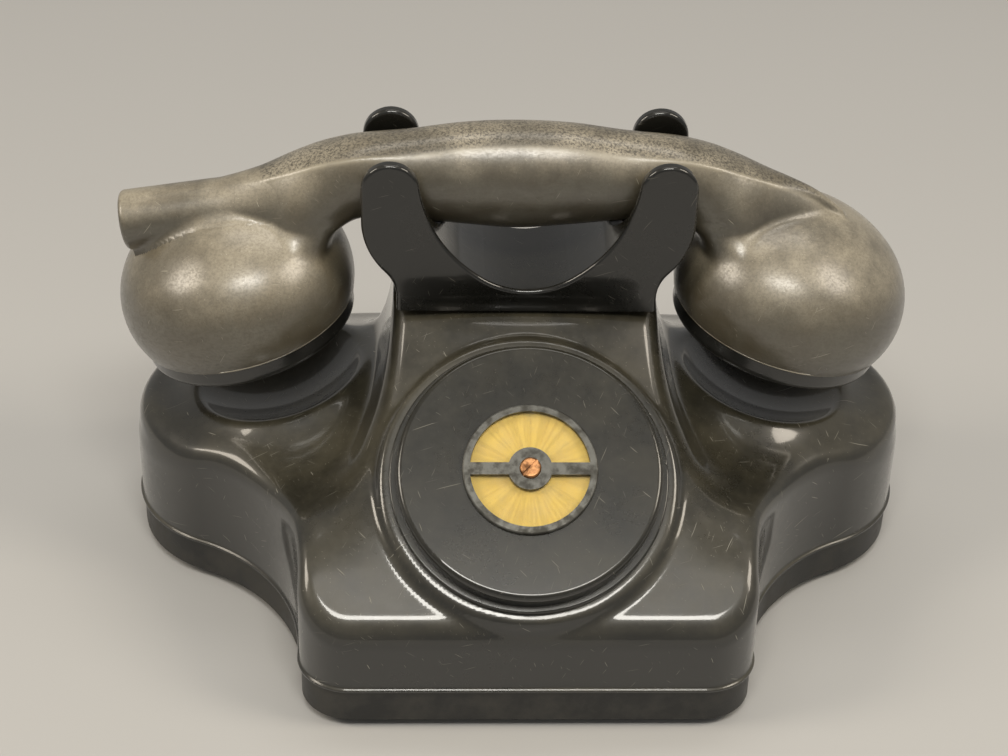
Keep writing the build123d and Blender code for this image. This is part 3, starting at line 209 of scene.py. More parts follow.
def flattened(tree, vector):
    # The point as seen along the axis that the surface faces most, so that its third part is zero.
    form = addNode(tree, "ShaderNodeNewGeometry", (-1900, -300))
    facing = addNode(tree, "ShaderNodeSeparateXYZ", (-1500, -300))
    join(tree, vectorMath(tree, "ABSOLUTE", (-1700, -300), form.outputs["Normal"]), facing.inputs["Vector"])
    point = addNode(tree, "ShaderNodeSeparateXYZ", (-1700, 100))
    join(tree, vector, point.inputs["Vector"])
    views = []
    for level, (first, second) in enumerate((("X", "Y"), ("X", "Z"), ("Y", "Z"))):
        view = addNode(tree, "ShaderNodeCombineXYZ", (-1500, 200 - 130 * level))
        join(tree, point.outputs[first], view.inputs["X"])
        join(tree, point.outputs[second], view.inputs["Y"])
        views.append(view.outputs["Vector"])
    above = mathNode(tree, "GREATER_THAN", (-1300, -250), facing.outputs["Z"], 0.55)
    ahead = mathNode(tree, "GREATER_THAN", (-1300, -420), facing.outputs["Y"], facing.outputs["X"])
    standing = addNode(tree, "ShaderNodeMix", (-1300, 0), data_type="VECTOR")
    chosen = addNode(tree, "ShaderNodeMix", (-1100, 0), data_type="VECTOR")
    join(tree, ahead, standing.inputs[0])
    join(tree, views[2], standing.inputs[4])
    join(tree, views[1], standing.inputs[5])
    join(tree, above, chosen.inputs[0])
    join(tree, standing.outputs[1], chosen.inputs[4])
    join(tree, views[0], chosen.inputs[5])
    return chosen.outputs[1]


def makeScratches():
    # Short straight streaks: the flattened point is turned and squeezed along one direction, so the
    # round dot at the middle of each cell becomes a thin streak. A cell's colour gives its strength.
    tree, given, result = makeGroup(
        "scratches",
        [
            ("Vector", "NodeSocketVector", None),
            ("Scale", "NodeSocketFloat", 300.0),
            ("Width", "NodeSocketFloat", 0.03),
            ("Rarity", "NodeSocketFloat", 0.5),
        ],
        [("Mask", "NodeSocketFloat")],
    )
    drift = addNode(tree, "ShaderNodeTexNoise", (-1100, 400))
    drift.inputs["Scale"].default_value = 45.0
    drift.inputs["Detail"].default_value = 1.0
    join(tree, given["Vector"], drift.inputs["Vector"])
    swayed = vectorMath(tree, "SCALE", (-900, 400), drift.outputs["Color"], scale=0.004)
    flat = vectorMath(tree, "ADD", (-900, 100), flattened(tree, given["Vector"]), swayed)
    masks = []
    streaks = ((0.45, 0.045), (2.2, 0.07), (1.3, 0.03), (2.75, 0.1))    # direction and how far squeezed
    for turn, (angle, stretch) in enumerate(streaks):
        level = 200 - 260 * turn
        turned = addNode(tree, "ShaderNodeVectorRotate", (-700, level), rotation_type="Z_AXIS")
        turned.inputs["Angle"].default_value = angle
        join(tree, flat, turned.inputs["Vector"])
        squeezed = vectorMath(tree, "MULTIPLY", (-540, level), turned.outputs["Vector"], (1.0, stretch, 1.0))
        cell = addNode(tree, "ShaderNodeTexVoronoi", (-380, level), voronoi_dimensions="2D")
        join(tree, squeezed, cell.inputs["Vector"])
        join(tree, given["Scale"], cell.inputs["Scale"])
        chance = addNode(tree, "ShaderNodeSeparateColor", (-200, level - 120))
        join(tree, cell.outputs["Color"], chance.inputs["Color"])
        away = mathNode(tree, "DIVIDE", (-200, level), cell.outputs["Distance"], given["Width"])
        core = mathNode(tree, "SUBTRACT", (-40, level), 1.0, away, clamp=True)
        kept = mathNode(tree, "GREATER_THAN", (-40, level - 120), chance.outputs[0], given["Rarity"])
        strength = mathNode(tree, "MULTIPLY", (120, level - 120), kept, chance.outputs[1])
        sharp = mathNode(tree, "MULTIPLY", (120, level), core, 2.5, clamp=True)
        masks.append(mathNode(tree, "MULTIPLY", (280, level), sharp, strength))
    first = mathNode(tree, "MAXIMUM", (460, 100), masks[0], masks[1])
    second = mathNode(tree, "MAXIMUM", (460, -300), masks[2], masks[3])
    join(tree, mathNode(tree, "MAXIMUM", (640, 0), first, second), result["Mask"])
    return tree


def makeDust():
    # Specks are round dots in a few cells of a fine pattern, and the film is a broad noise. Both lie
    # thicker in the patches of that noise and on faces that look up.
    tree, given, result = makeGroup(
        "dust",
        [
            ("Vector", "NodeSocketVector", None),
            ("Speck", "NodeSocketFloat", 900.0),
            ("Patch", "NodeSocketFloat", 25.0),
            ("Amount", "NodeSocketFloat", 0.5),
        ],
        [("Specks", "NodeSocketFloat"), ("Film", "NodeSocketFloat"), ("Upward", "NodeSocketFloat")],
    )
    speck = addNode(tree, "ShaderNodeTexVoronoi", (-850, 200))
    join(tree, given["Vector"], speck.inputs["Vector"])
    join(tree, given["Speck"], speck.inputs["Scale"])
    dot = spanNode(tree, (-650, 200), speck.outputs["Distance"], 0.22, 0.1)
    chance = addNode(tree, "ShaderNodeSeparateColor", (-650, 380))
    join(tree, speck.outputs["Color"], chance.inputs["Color"])
    rare = mathNode(tree, "GREATER_THAN", (-450, 380), chance.outputs[0], 0.8)
    patch = addNode(tree, "ShaderNodeTexNoise", (-850, -100))
    patch.inputs["Detail"].default_value = 5.0
    patch.inputs["Roughness"].default_value = 0.62
    join(tree, given["Vector"], patch.inputs["Vector"])
    join(tree, given["Patch"], patch.inputs["Scale"])
    cover = spanNode(tree, (-650, -100), patch.outputs["Fac"], 0.36, 0.66, 0.22, 1.0)
    form = addNode(tree, "ShaderNodeNewGeometry", (-850, -400))
    parts = addNode(tree, "ShaderNodeSeparateXYZ", (-650, -400))
    join(tree, form.outputs["Normal"], parts.inputs["Vector"])
    upward = spanNode(tree, (-450, -400), parts.outputs["Z"], 0.1, 0.85)
    resting = mathNode(tree, "MULTIPLY", (-250, -200), cover, upward)
    film = mathNode(tree, "MULTIPLY", (-60, -200), resting, given["Amount"])
    chosen = mathNode(tree, "MULTIPLY", (-250, 250), dot, rare)
    weighted = mathNode(tree, "MULTIPLY", (-60, 250), chosen, resting)
    strong = mathNode(tree, "MULTIPLY", (140, 250), weighted, given["Amount"])
    join(tree, strong, result["Specks"])
    join(tree, film, result["Film"])
    join(tree, upward, result["Upward"])
    return tree


scratchGroup = makeScratches()
dustGroup = makeDust()


def useGroup(tree, group, place, vector, **values):
    node = addNode(tree, "ShaderNodeGroup", place)
    node.node_tree = group
    for key, value in values.items():
        node.inputs[key].default_value = value
    tree.links.new(vector, node.inputs["Vector"])
    return node.outputs


def startMaterial(name):
    material = bpy.data.materials.new(name)
    material.use_nodes = True
    tree = material.node_tree
    tree.nodes.clear()
    output = addNode(tree, "ShaderNodeOutputMaterial", (1400, 0))
    shader = addNode(tree, "ShaderNodeBsdfPrincipled", (1100, 0))
    join(tree, shader.outputs["BSDF"], output.inputs["Surface"])
    place = addNode(tree, "ShaderNodeTexCoord", (-1400, 0)).outputs["Object"]
    return material, tree, shader, place


def bumpNode(tree, place, height, strength, distance, normal=None):
    node = addNode(tree, "ShaderNodeBump", place)
    node.inputs["Strength"].default_value = strength
    node.inputs["Distance"].default_value = distance
    tree.links.new(height, node.inputs["Height"])
    if normal is not None:
        tree.links.new(normal, node.inputs["Normal"])
    return node.outputs["Normal"]


# moulded black: a polished phenolic moulding, dulled by handling, with scuffs, scratches and dust

# haze: a bloom together with a painted sheen, laid on the faces that look up
blackFinishes = {
    "housingBlack": {
        "base": (0.006, 0.006, 0.0042), "haze": (0.06, 0.054, 0.038), "ior": 1.5,
        "smooth": 0.26, "dull": 0.36, "coat": 0.08, "patch": 20.0,
        "hazeAndSheenAmount": 0.8, "dust": 0.3, "scratch": 0.75, "rarity": 0.6,
    },
    "cradleBlack": {
        "base": (0.006, 0.006, 0.005), "haze": (0.025, 0.023, 0.017), "ior": 1.33,
        "smooth": 0.24, "dull": 0.34, "coat": 0.08, "patch": 30.0,
        "hazeAndSheenAmount": 0.5, "dust": 0.08, "scratch": 0.4, "rarity": 0.6,
    },
    "blankBlack": {
        "base": (0.008, 0.008, 0.006), "haze": (0.035, 0.032, 0.022), "ior": 1.35,
        "smooth": 0.26, "dull": 0.32, "coat": 0.12, "patch": 34.0,
        "hazeAndSheenAmount": 0.6, "dust": 0.12, "scratch": 0.5, "rarity": 0.5,
    },
    "capBlack": {
        "base": (0.007, 0.007, 0.006), "haze": (0.03, 0.027, 0.019), "ior": 1.4,
        "smooth": 0.3, "dull": 0.4, "coat": 0.2, "patch": 30.0,
        "hazeAndSheenAmount": 0.5, "dust": 0.2, "scratch": 0.3, "rarity": 0.6,
    },
}

blackMarks = {
    "dust": (0.14, 0.123, 0.08),
    "speck": (0.5, 0.46, 0.37),
    "line": (0.36, 0.34, 0.28),
    "coatIor": 1.55,
}


def makeBlack(name, s, marks):
    material, tree, shader, place = startMaterial(name)
    broad = noiseNode(tree, (-1100, 300), place, s["patch"], 5.0, 0.6)
    patches = spanNode(tree, (-900, 300), broad, 0.3, 0.75)
    fine = noiseNode(tree, (-1100, 50), place, 420.0, 4.0, 0.65)
    mottled = spanNode(tree, (-900, 50), fine, 0.35, 0.7)
    dust = useGroup(
        tree, dustGroup, (-1100, -200), place,
        Speck=1100.0, Patch=s["patch"] * 1.7, Amount=s["dust"],
    )
    scuffs = useGroup(tree, scratchGroup, (-1100, -450), place, Scale=240.0, Width=0.03, Rarity=s["rarity"])
    hairs = useGroup(tree, scratchGroup, (-1100, -700), place, Scale=520.0, Width=0.035, Rarity=s["rarity"])
    scuffMask = mathNode(tree, "MULTIPLY", (-850, -450), scuffs["Mask"], s["scratch"])
    hairMask = mathNode(tree, "MULTIPLY", (-850, -700), hairs["Mask"], s["scratch"] * 0.6)
    lines = mathNode(tree, "MAXIMUM", (-650, -550), scuffMask, hairMask)
    # haze on what faces up, a little uneven, with a fine mottle in it: a bloom on the moulding together with
    # a painted sheen, so the upward faces are lighter and the walls stay dark
    uneven = spanNode(tree, (-700, 420), patches, 0.1, 0.9, 0.25, 1.0)
    cloudy = spanNode(tree, (-700, 560), mottled, 0.0, 1.0, 0.75, 1.0)
    veil = mathNode(tree, "MULTIPLY", (-600, 500), uneven, cloudy)
    settledHazeAndSheen = mathNode(tree, "MULTIPLY", (-540, 420), veil, dust["Upward"])
    hazeAndSheenMask = mathNode(tree, "MULTIPLY", (-500, 300), settledHazeAndSheen, s["hazeAndSheenAmount"])
    hazeAndSheen = mixColour(tree, (-350, 300), hazeAndSheenMask, s["base"], s["haze"])
    dusty = mixColour(tree, (-250, 200), dust["Film"], hazeAndSheen, marks["dust"])
    specked = mixColour(tree, (-50, 150), dust["Specks"], dusty, marks["speck"])
    lined = mixColour(tree, (150, 100), lines, specked, marks["line"])
    join(tree, lined, shader.inputs["Base Color"])
    rough = spanNode(tree, (-700, 0), patches, 0.0, 1.0, s["smooth"], s["dull"])
    mottle = mathNode(tree, "MULTIPLY", (-700, -150), mottled, 0.05)
    rougher = mathNode(tree, "ADD", (-450, -50), rough, mottle)
    lineRough = mathNode(tree, "MULTIPLY", (-250, -250), lines, 0.3)
    total = mathNode(tree, "ADD", (-50, -150), rougher, lineRough, clamp=True)
    join(tree, total, shader.inputs["Roughness"])
    # the polish left on it, thinner under dust and in scratches
    worn = mathNode(tree, "ADD", (-450, -300), dust["Film"], lines)
    join(tree, spanNode(tree, (-250, -400), worn, 0.0, 1.0, 1.0, 0.2), shader.inputs["Coat Weight"])
    shader.inputs["Coat Roughness"].default_value = s["coat"]
    shader.inputs["Coat IOR"].default_value = marks["coatIor"]
    ripple = noiseNode(tree, (-1100, -950), place, 90.0, 3.0, 0.5)
    first = bumpNode(tree, (500, -400), ripple, 0.05, 0.0006)
    carved = mathNode(tree, "MULTIPLY", (300, -600), lines, -1.0)
    join(tree, bumpNode(tree, (750, -400), carved, 0.35, 0.00012, first), shader.inputs["Normal"])
    shader.inputs["IOR"].default_value = s["ior"]
    return material


blacks = {name: makeBlack(name, settings, blackMarks) for name, settings in blackFinishes.items()}

handsetFinish = {
    "dark": (0.045, 0.038, 0.025),
    # the bloom's colour; laid thicker on upward faces, it is also a painted top light
    "tan": (0.2, 0.16, 0.092),
    "grey": (0.14, 0.133, 0.1),
    # dust on upward faces together with a painted sheen on them
    "film": (0.47, 0.41, 0.3),
    # wear on the ridges together with a painted highlight along them
    "rubbedAndHighlit": (0.42, 0.37, 0.27),
    "pale": (0.6, 0.55, 0.43),    # specks and scratches
    "rough": 0.36,
    "coat": 0.27,
    "ior": 1.66,
    "coatIor": 1.6,
    "patch": 34.0,
    "dust": 0.95,
}


def makeHandsetFinish(s):
    # Faded moulding of a dark colour, with a soft brown bloom and a fine grain of dirt. Painted light and
    # shade: the bloom and a pale film of dust and painted sheen lie on what faces up, so the underside
    # stays dark as painted shade; the roof between the ridges is darkened by grit and a painted dark
    # reflection, and the ridges are lightened by wear and a painted highlight.
    material, tree, shader, place = startMaterial("handsetBrown")
    cloud = noiseNode(tree, (-1100, 500), place, 13.0, 3.0, 0.5)
    bloom = spanNode(tree, (-900, 500), cloud, 0.25, 0.75)
    second = noiseNode(tree, (-1100, 250), place, 75.0, 6.0, 0.7, 0.4)
    streak = spanNode(tree, (-900, 250), second, 0.36, 0.7)
    grain = noiseNode(tree, (-1100, 0), place, 1300.0, 4.0, 0.75)
    grit = spanNode(tree, (-900, 0), grain, 0.42, 0.62)
    dust = useGroup(
        tree, dustGroup, (-1100, -200), place,
        Speck=1300.0, Patch=s["patch"], Amount=s["dust"],
    )
    scuffs = useGroup(tree, scratchGroup, (-1100, -450), place, Scale=200.0, Width=0.022, Rarity=0.75)
    hairs = useGroup(tree, scratchGroup, (-1100, -700), place, Scale=480.0, Width=0.03, Rarity=0.6)
    # painted top light and shade: the bloom is full on faces that look up and weaker on the sides and
    # underside
    side = spanNode(tree, (-760, 420), dust["Upward"], 0.0, 1.0, 0.35, 1.0)
    bloomAndTopLight = mathNode(tree, "MULTIPLY", (-700, 560), bloom, side)
    browned = mixColour(tree, (-600, 500), bloomAndTopLight, s["dark"], s["tan"])
    streaked = mathNode(tree, "MULTIPLY", (-600, 300), streak, 0.35)
    greyed = mixColour(tree, (-400, 450), streaked, browned, s["grey"])
    # painted sheen: the pale film on upward faces is dust together with a painted sheen that lightens the
    # tops
    dusty = mixColour(tree, (0, 350), dust["Film"], greyed, s["film"])
    roof = addNode(tree, "ShaderNodeAttribute", (-760, 700), attribute_name="roof").outputs["Fac"]
    ridge = addNode(tree, "ShaderNodeAttribute", (-760, 850), attribute_name="ridge").outputs["Fac"]
    # painted reflection: the roof between the ridges is darkened by grit together with a painted dark
    # reflection
    roofGritAndShadeShare = spanNode(tree, (-560, 700), roof, 0.0, 1.0, 0.3, 0.85)
    roofGritAndShade = mathNode(tree, "MULTIPLY", (-400, 250), grit, roofGritAndShadeShare)
    gritAndRoofShade = mixColour(tree, (-200, 400), roofGritAndShade, dusty, s["dark"])
    # painted highlight: the ridges are lightened by rubbing wear together with a painted highlight along
    # them, broken up by the streaks
    broken = spanNode(tree, (-560, 1000), streak, 0.0, 1.0, 0.75, 0.3)
    ridgeWearAndHighlight = mathNode(tree, "MULTIPLY", (-560, 850), ridge, broken)
    rubbedAndHighlit = mixColour(tree, (0, 500), ridgeWearAndHighlight, gritAndRoofShade, s["rubbedAndHighlit"])
    specked = mixColour(tree, (200, 300), dust["Specks"], rubbedAndHighlit, s["pale"])
    fineLines = mathNode(tree, "MULTIPLY", (-850, -700), hairs["Mask"], 0.6)
    lines = mathNode(tree, "MAXIMUM", (-650, -550), scuffs["Mask"], fineLines)
    shown = mathNode(tree, "MULTIPLY", (-450, -550), lines, 0.6)
    lined = mixColour(tree, (400, 250), shown, specked, s["pale"])
    join(tree, lined, shader.inputs["Base Color"])
    rough = spanNode(tree, (-600, 50), streak, 0.0, 1.0, s["rough"] - 0.05, s["rough"] + 0.08)
    speckRough = mathNode(tree, "MULTIPLY", (-600, -100), grit, 0.08)
    join(tree, mathNode(tree, "ADD", (-400, 0), rough, speckRough), shader.inputs["Roughness"])
    worn = mathNode(tree, "ADD", (-450, -300), grit, lines)
    join(tree, spanNode(tree, (-250, -300), worn, 0.0, 1.0, 1.0, 0.5), shader.inputs["Coat Weight"])
    shader.inputs["Coat Roughness"].default_value = s["coat"]
    shader.inputs["Coat IOR"].default_value = s["coatIor"]
    pitted = mathNode(tree, "MULTIPLY", (300, -300), grain, 0.5)
    first = bumpNode(tree, (500, -400), pitted, 0.1, 0.0003)
    carved = mathNode(tree, "MULTIPLY", (300, -600), lines, -1.0)
    join(tree, bumpNode(tree, (750, -400), carved, 0.4, 0.00015, first), shader.inputs["Normal"])
    shader.inputs["IOR"].default_value = s["ior"]
    return material


handsetBrown = makeHandsetFinish(handsetFinish)


# metals: clean colour, tarnish, roughness of each, metallic, and how fine the patches are
metalFinishes = {
    "zincSteel": ((0.55, 0.54, 0.5), (0.32, 0.3, 0.25), 0.28, 0.5, 1.0, 120.0),
    "screwCopper": ((0.55, 0.27, 0.12), (0.16, 0.075, 0.035), 0.3, 0.55, 1.0, 420.0),
    "agedBrass": ((0.6, 0.43, 0.19), (0.3, 0.2, 0.08), 0.28, 0.5, 1.0, 120.0),
    "bellNickel": ((0.66, 0.63, 0.56), (0.42, 0.38, 0.3), 0.16, 0.36, 1.0, 120.0),
    "softIron": ((0.22, 0.21, 0.2), (0.14, 0.1, 0.07), 0.45, 0.65, 1.0, 120.0),
    "holderGrey": ((0.13, 0.128, 0.115), (0.06, 0.057, 0.048), 0.36, 0.55, 0.6, 260.0),
    "panPaint": ((0.016, 0.016, 0.015), (0.05, 0.047, 0.04), 0.4, 0.6, 0.0, 60.0),
    "windingCopper": ((0.33, 0.13, 0.05), (0.2, 0.07, 0.03), 0.35, 0.5, 0.3, 500.0),
}


def makeMetal(name, colour, tarnish, smooth, dull, metallic, scale):
    # Worn metal: clean metal and its tarnish in small patches, with brushed scratches.
    material, tree, shader, place = startMaterial(name)
    cloud = noiseNode(tree, (-1100, 300), place, scale, 5.0, 0.65)
    patches = spanNode(tree, (-900, 300), cloud, 0.38, 0.66)
    join(tree, mixColour(tree, (-600, 300), patches, colour, tarnish), shader.inputs["Base Color"])
    join(tree, spanNode(tree, (-600, 50), patches, 0.0, 1.0, smooth, dull), shader.inputs["Roughness"])
    lines = useGroup(tree, scratchGroup, (-1100, -300), place, Scale=900.0, Width=0.08, Rarity=0.2)
    carved = mathNode(tree, "MULTIPLY", (-700, -300), lines["Mask"], -1.0)
    join(tree, bumpNode(tree, (-400, -300), carved, 0.3, 0.0001), shader.inputs["Normal"])
    shader.inputs["Metallic"].default_value = metallic
    return material


metals = {name: makeMetal(name, *settings) for name, settings in metalFinishes.items()}

cardFinish = {
    "yellow": (0.86, 0.6, 0.1),
    "browned": (0.7, 0.46, 0.08),
    "fleck": (0.82, 0.6, 0.16),
    "blotches": 0.5,
    "flecks": 0.2,
}


def makeCard(s):
    # Yellow card: even colour with faint browned blotches and a fine paper grain.
    material, tree, shader, place = startMaterial("yellowCard")
    blotch = spanNode(tree, (-900, 300), noiseNode(tree, (-1100, 300), place, 130.0, 4.0, 0.6), 0.45, 0.75)
    grain = noiseNode(tree, (-1100, 0), place, 2500.0, 2.0, 0.6)
    browning = mathNode(tree, "MULTIPLY", (-750, 200), blotch, s["blotches"])
    aged = mixColour(tree, (-600, 300), browning, s["yellow"], s["browned"])
    fleck = mathNode(tree, "MULTIPLY", (-750, 0), spanNode(tree, (-900, 0), grain, 0.4, 0.7), s["flecks"])
    join(tree, mixColour(tree, (-400, 250), fleck, aged, s["fleck"]), shader.inputs["Base Color"])
    join(tree, spanNode(tree, (-600, 0), grain, 0.3, 0.7, 0.5, 0.65), shader.inputs["Roughness"])
    join(tree, bumpNode(tree, (-400, -300), grain, 0.1, 0.0001), shader.inputs["Normal"])
    return material


filmFinish = {
    "clear": (0.9, 0.88, 0.8),
    "hazed": (0.8, 0.77, 0.66),
    "thin": 0.05,                 # alpha where the film is clear, and where it is hazed
    "thick": 0.12,
    "ior": 1.45,
}


def makeFilm(s):
    # Clear film: thin and nearly unseen, a little haze on it in soft patches.
    material, tree, shader, place = startMaterial("clearFilm")
    haze = noiseNode(tree, (-1100, 0), place, 160.0, 4.0, 0.6)
    join(tree, spanNode(tree, (-700, 0), haze, 0.35, 0.7, 0.08, 0.2), shader.inputs["Roughness"])
    join(tree, spanNode(tree, (-700, -200), haze, 0.35, 0.75, s["thin"], s["thick"]), shader.inputs["Alpha"])
    join(tree, mixColour(tree, (-500, 200), haze, s["clear"], s["hazed"]), shader.inputs["Base Color"])
    join(tree, bumpNode(tree, (-400, -300), haze, 0.06, 0.0002), shader.inputs["Normal"])
    shader.inputs["IOR"].default_value = s["ior"]
    return material


def makeDull(name, colour, worn, rough, scale):
    # Dull material: two tones in patches over a fine grain, as on rubber and fibre board.
    material, tree, shader, place = startMaterial(name)
    cloud = noiseNode(tree, (-1100, 300), place, scale, 5.0, 0.65)
    patches = spanNode(tree, (-900, 300), cloud, 0.35, 0.7)
    grain = noiseNode(tree, (-1100, 0), place, 900.0, 3.0, 0.6)
    join(tree, mixColour(tree, (-600, 300), patches, colour, worn), shader.inputs["Base Color"])
    uneven = spanNode(tree, (-600, 50), grain, 0.3, 0.7, rough - 0.08, rough + 0.08)
    join(tree, uneven, shader.inputs["Roughness"])
    join(tree, bumpNode(tree, (-400, -300), grain, 0.25, 0.0003), shader.inputs["Normal"])
    return material


dulls = {
    "footRubber": makeDull("footRubber", (0.02, 0.02, 0.019), (0.06, 0.057, 0.05), 0.75, 90.0),
    "fibreBoard": makeDull("fibreBoard", (0.2, 0.1, 0.04), (0.13, 0.06, 0.025), 0.6, 70.0),
}
card = makeCard(cardFinish)
film = makeFilm(filmFinish)
print("stage: materials made")

finishes = {
    "housing": blacks["housingBlack"],
    "cradle": blacks["cradleBlack"],
    "dial_ring": blacks["blankBlack"],
    "dial_blank": blacks["blankBlack"],
    "mouthpiece": blacks["capBlack"],
    "receiver_cap": blacks["capBlack"],
    "plunger_left": blacks["capBlack"],
    "plunger_right": blacks["capBlack"],
    "base_pan": metals["panPaint"],
    "condenser": metals["panPaint"],
    "rubber_feet": dulls["footRubber"],
    "handset_cord_grommet": dulls["footRubber"],
    "line_cord_grommet": dulls["footRubber"],
    "handset": handsetBrown,
    "number_card": card,
    "card_window": film,
    "card_holder": metals["holderGrey"],
    "transmitter_unit": metals["holderGrey"],
    "receiver_unit": metals["holderGrey"],
    "centre_screw": metals["screwCopper"],
    "contact_leaves": metals["agedBrass"],
    "gong_posts": metals["agedBrass"],
    "board_standoffs": metals["agedBrass"],
    "board_screws": metals["agedBrass"],
    "gong_left": metals["bellNickel"],
    "gong_right": metals["bellNickel"],
    "coil_cores": metals["softIron"],
    "induction_core": metals["softIron"],
    "ringer_coil_left": metals["windingCopper"],
    "ringer_coil_right": metals["windingCopper"],
    "induction_coil": metals["windingCopper"],
    "induction_coil_ends": dulls["fibreBoard"],
    "contact_block": dulls["fibreBoard"],
    "terminal_board": dulls["fibreBoard"],
}


def assignFinish(obj, material):
    obj.data.materials.clear()
    obj.data.materials.append(material)


for nodeName, nodeObject in nodes.items():
    assignFinish(nodeObject, finishes.get(nodeName, metals["zincSteel"]))


# forms given by a distance: negative inside, positive outside, in millimetres

def roundUnion(first, second, radius):
    # The nearer of two forms. Where both are nearer than the radius, a quarter circle of it fills
    # the corner.
    corner = np.hypot(np.maximum(radius - first, 0.0), np.maximum(radius - second, 0.0))
    return np.maximum(radius, np.minimum(first, second)) - corner


def roundCommon(first, second, radius):
    # What two forms share, its edge rounded by the radius.
    return -roundUnion(-first, -second, radius)


def softUnion(first, second, reach):
    # The nearer of two forms, eased by a parabola where they differ by less than the reach.
    near = np.clip(0.5 + 0.5 * (second - first) / reach, 0.0, 1.0)
    return second * (1 - near) + first * near - reach * near * (1 - near)


def eased(low, high, value):
    # Smooth step: 0 at low, 1 at high, level at both.
    share = np.clip((value - low) / (high - low), 0.0, 1.0)
    return share * share * (3 - 2 * share)


def slopeOf(form, points, step=0.02):
    # Gradient of a form's distance by central differences along the three axes.
    parts = []
    for axis in range(3):
        move = np.zeros(3)
        move[axis] = step
        parts.append((form(points + move) - form(points - move)) / (2 * step))
    return np.stack(parts, axis=-1)


def closeRings(rings, firstPole=None, lastPole=None):
    # Rings of equal count joined by four-sided faces, and by triangles to a point at either end.
    rows, columns = rings.shape[:2]
    points = [rings.reshape(-1, 3)]
    here = np.arange(columns)
    after = (here + 1) % columns
    down = np.arange(rows - 1)[:, None] * columns
    quads = np.stack([down + here, down + after, down + columns + after, down + columns + here], axis=-1)
    quads = quads.reshape(-1, 4)
    triangles = []
    count = rows * columns
    if firstPole is not None:
        points.append(np.asarray(firstPole, float).reshape(1, 3))
        triangles.append(np.stack([np.full(columns, count), after, here], axis=-1))
        count += 1
    if lastPole is not None:
        points.append(np.asarray(lastPole, float).reshape(1, 3))
        base = (rows - 1) * columns
        triangles.append(np.stack([np.full(columns, count), base + here, base + after], axis=-1))
    return np.concatenate(points), quads, np.concatenate(triangles) if triangles else np.zeros((0, 3), int)


def makePiece(name, points, quads, triangles, material, outward=True, marks=None):
    # Mesh from arrays, smooth shaded. A turned order of corners makes faces look outwards, and marks
    # become attributes of the points.
    if not outward:
        quads = quads[:, ::-1]
        triangles = triangles[:, ::-1]
    mesh = bpy.data.meshes.new(name)
    corners = np.concatenate([quads.reshape(-1), triangles.reshape(-1)]).astype(np.int32)
    sizes = np.concatenate([np.full(len(quads), 4), np.full(len(triangles), 3)])
    starts = np.concatenate([[0], np.cumsum(sizes)[:-1]]).astype(np.int32)
    mesh.vertices.add(len(points))
    mesh.vertices.foreach_set("co", (points * mm).astype(np.float32).reshape(-1))
    mesh.loops.add(len(corners))
    mesh.loops.foreach_set("vertex_index", corners)
    mesh.polygons.add(len(sizes))
    mesh.polygons.foreach_set("loop_start", starts)
    mesh.update(calc_edges=True)
    mesh.polygons.foreach_set("use_smooth", np.ones(len(sizes), bool))
    mesh.validate()
    for label, values in (marks or {}).items():
        attribute = mesh.attributes.new(label, "FLOAT", "POINT")
        attribute.data.foreach_set("value", values.astype(np.float32))
    mesh.materials.append(material)
    obj = bpy.data.objects.new(name, mesh)
    bpy.context.scene.collection.objects.link(obj)
    return obj


# housing: wings, sloping front, tower, dishes and dial boss as one flowing moulding

housing = {
    "beadLevel": 15.0, "beadHeight": 1.3, "beadWidth": 0.7, "wall": 3.0,
    "front": -75.5, "back": 75.5, "cornerRadius": 16.5,
    "waist": 70.0, "waistRadius": 58.0,
    "wingX": 88.0, "wingY": 30.0, "wingRadius": 38.0,
    "wingTop": 52.0, "wingEdge": 7.0, "slopeEdge": 5.0,
    "ledge": 96.0, "ledgeY": 9.8, "tilt": 34.85, "crownRadius": 150.0,
    "towerWidth": 40.2, "towerFlare": 29.8, "towerFall": 13.5, "towerFrom": 51.0,
    "towerBack": 51.0, "towerBackFlare": 19.5, "towerFront": -60.0,
    "towerCorner": 10.0, "towerCornerFlare": 20.0, "towerEdge": 1.2,
    "flareLow": -12.0, "flareHigh": 80.0, "crownFrom": -55.0, "crownTo": 5.0,
    "towerBlend": 12.0, "moundBlend": 9.0, "wallEdge": 3.0,
    "dishX": 78.5, "dishY": 27.5, "dishZ": 62.0, "dishTilt": 12.5, "dishRadius": 27.2, "dishDepth": 10.0,
    "dishLip": 0.9, "moundDrop": 16.0, "moundSpread": 19.1, "lipEdge": 1.6,
    "faceY": -42.0, "faceZ": 73.9, "bossTop": -9.1, "bossRadius": 45.5, "bossEdge": 1.6, "bossFillet": 3.0,
    "columns": 420, "rows": 176, "wallRows": 26, "innerStep": 7, "rounds": 36, "quickRounds": 8,
    "packing": 0.92, "inset": 1.5, "dropFrom": 14.0, "drops": 90, "dropShare": 0.6, "shoulder": 2.0,
    "beadSteps": 7,
}


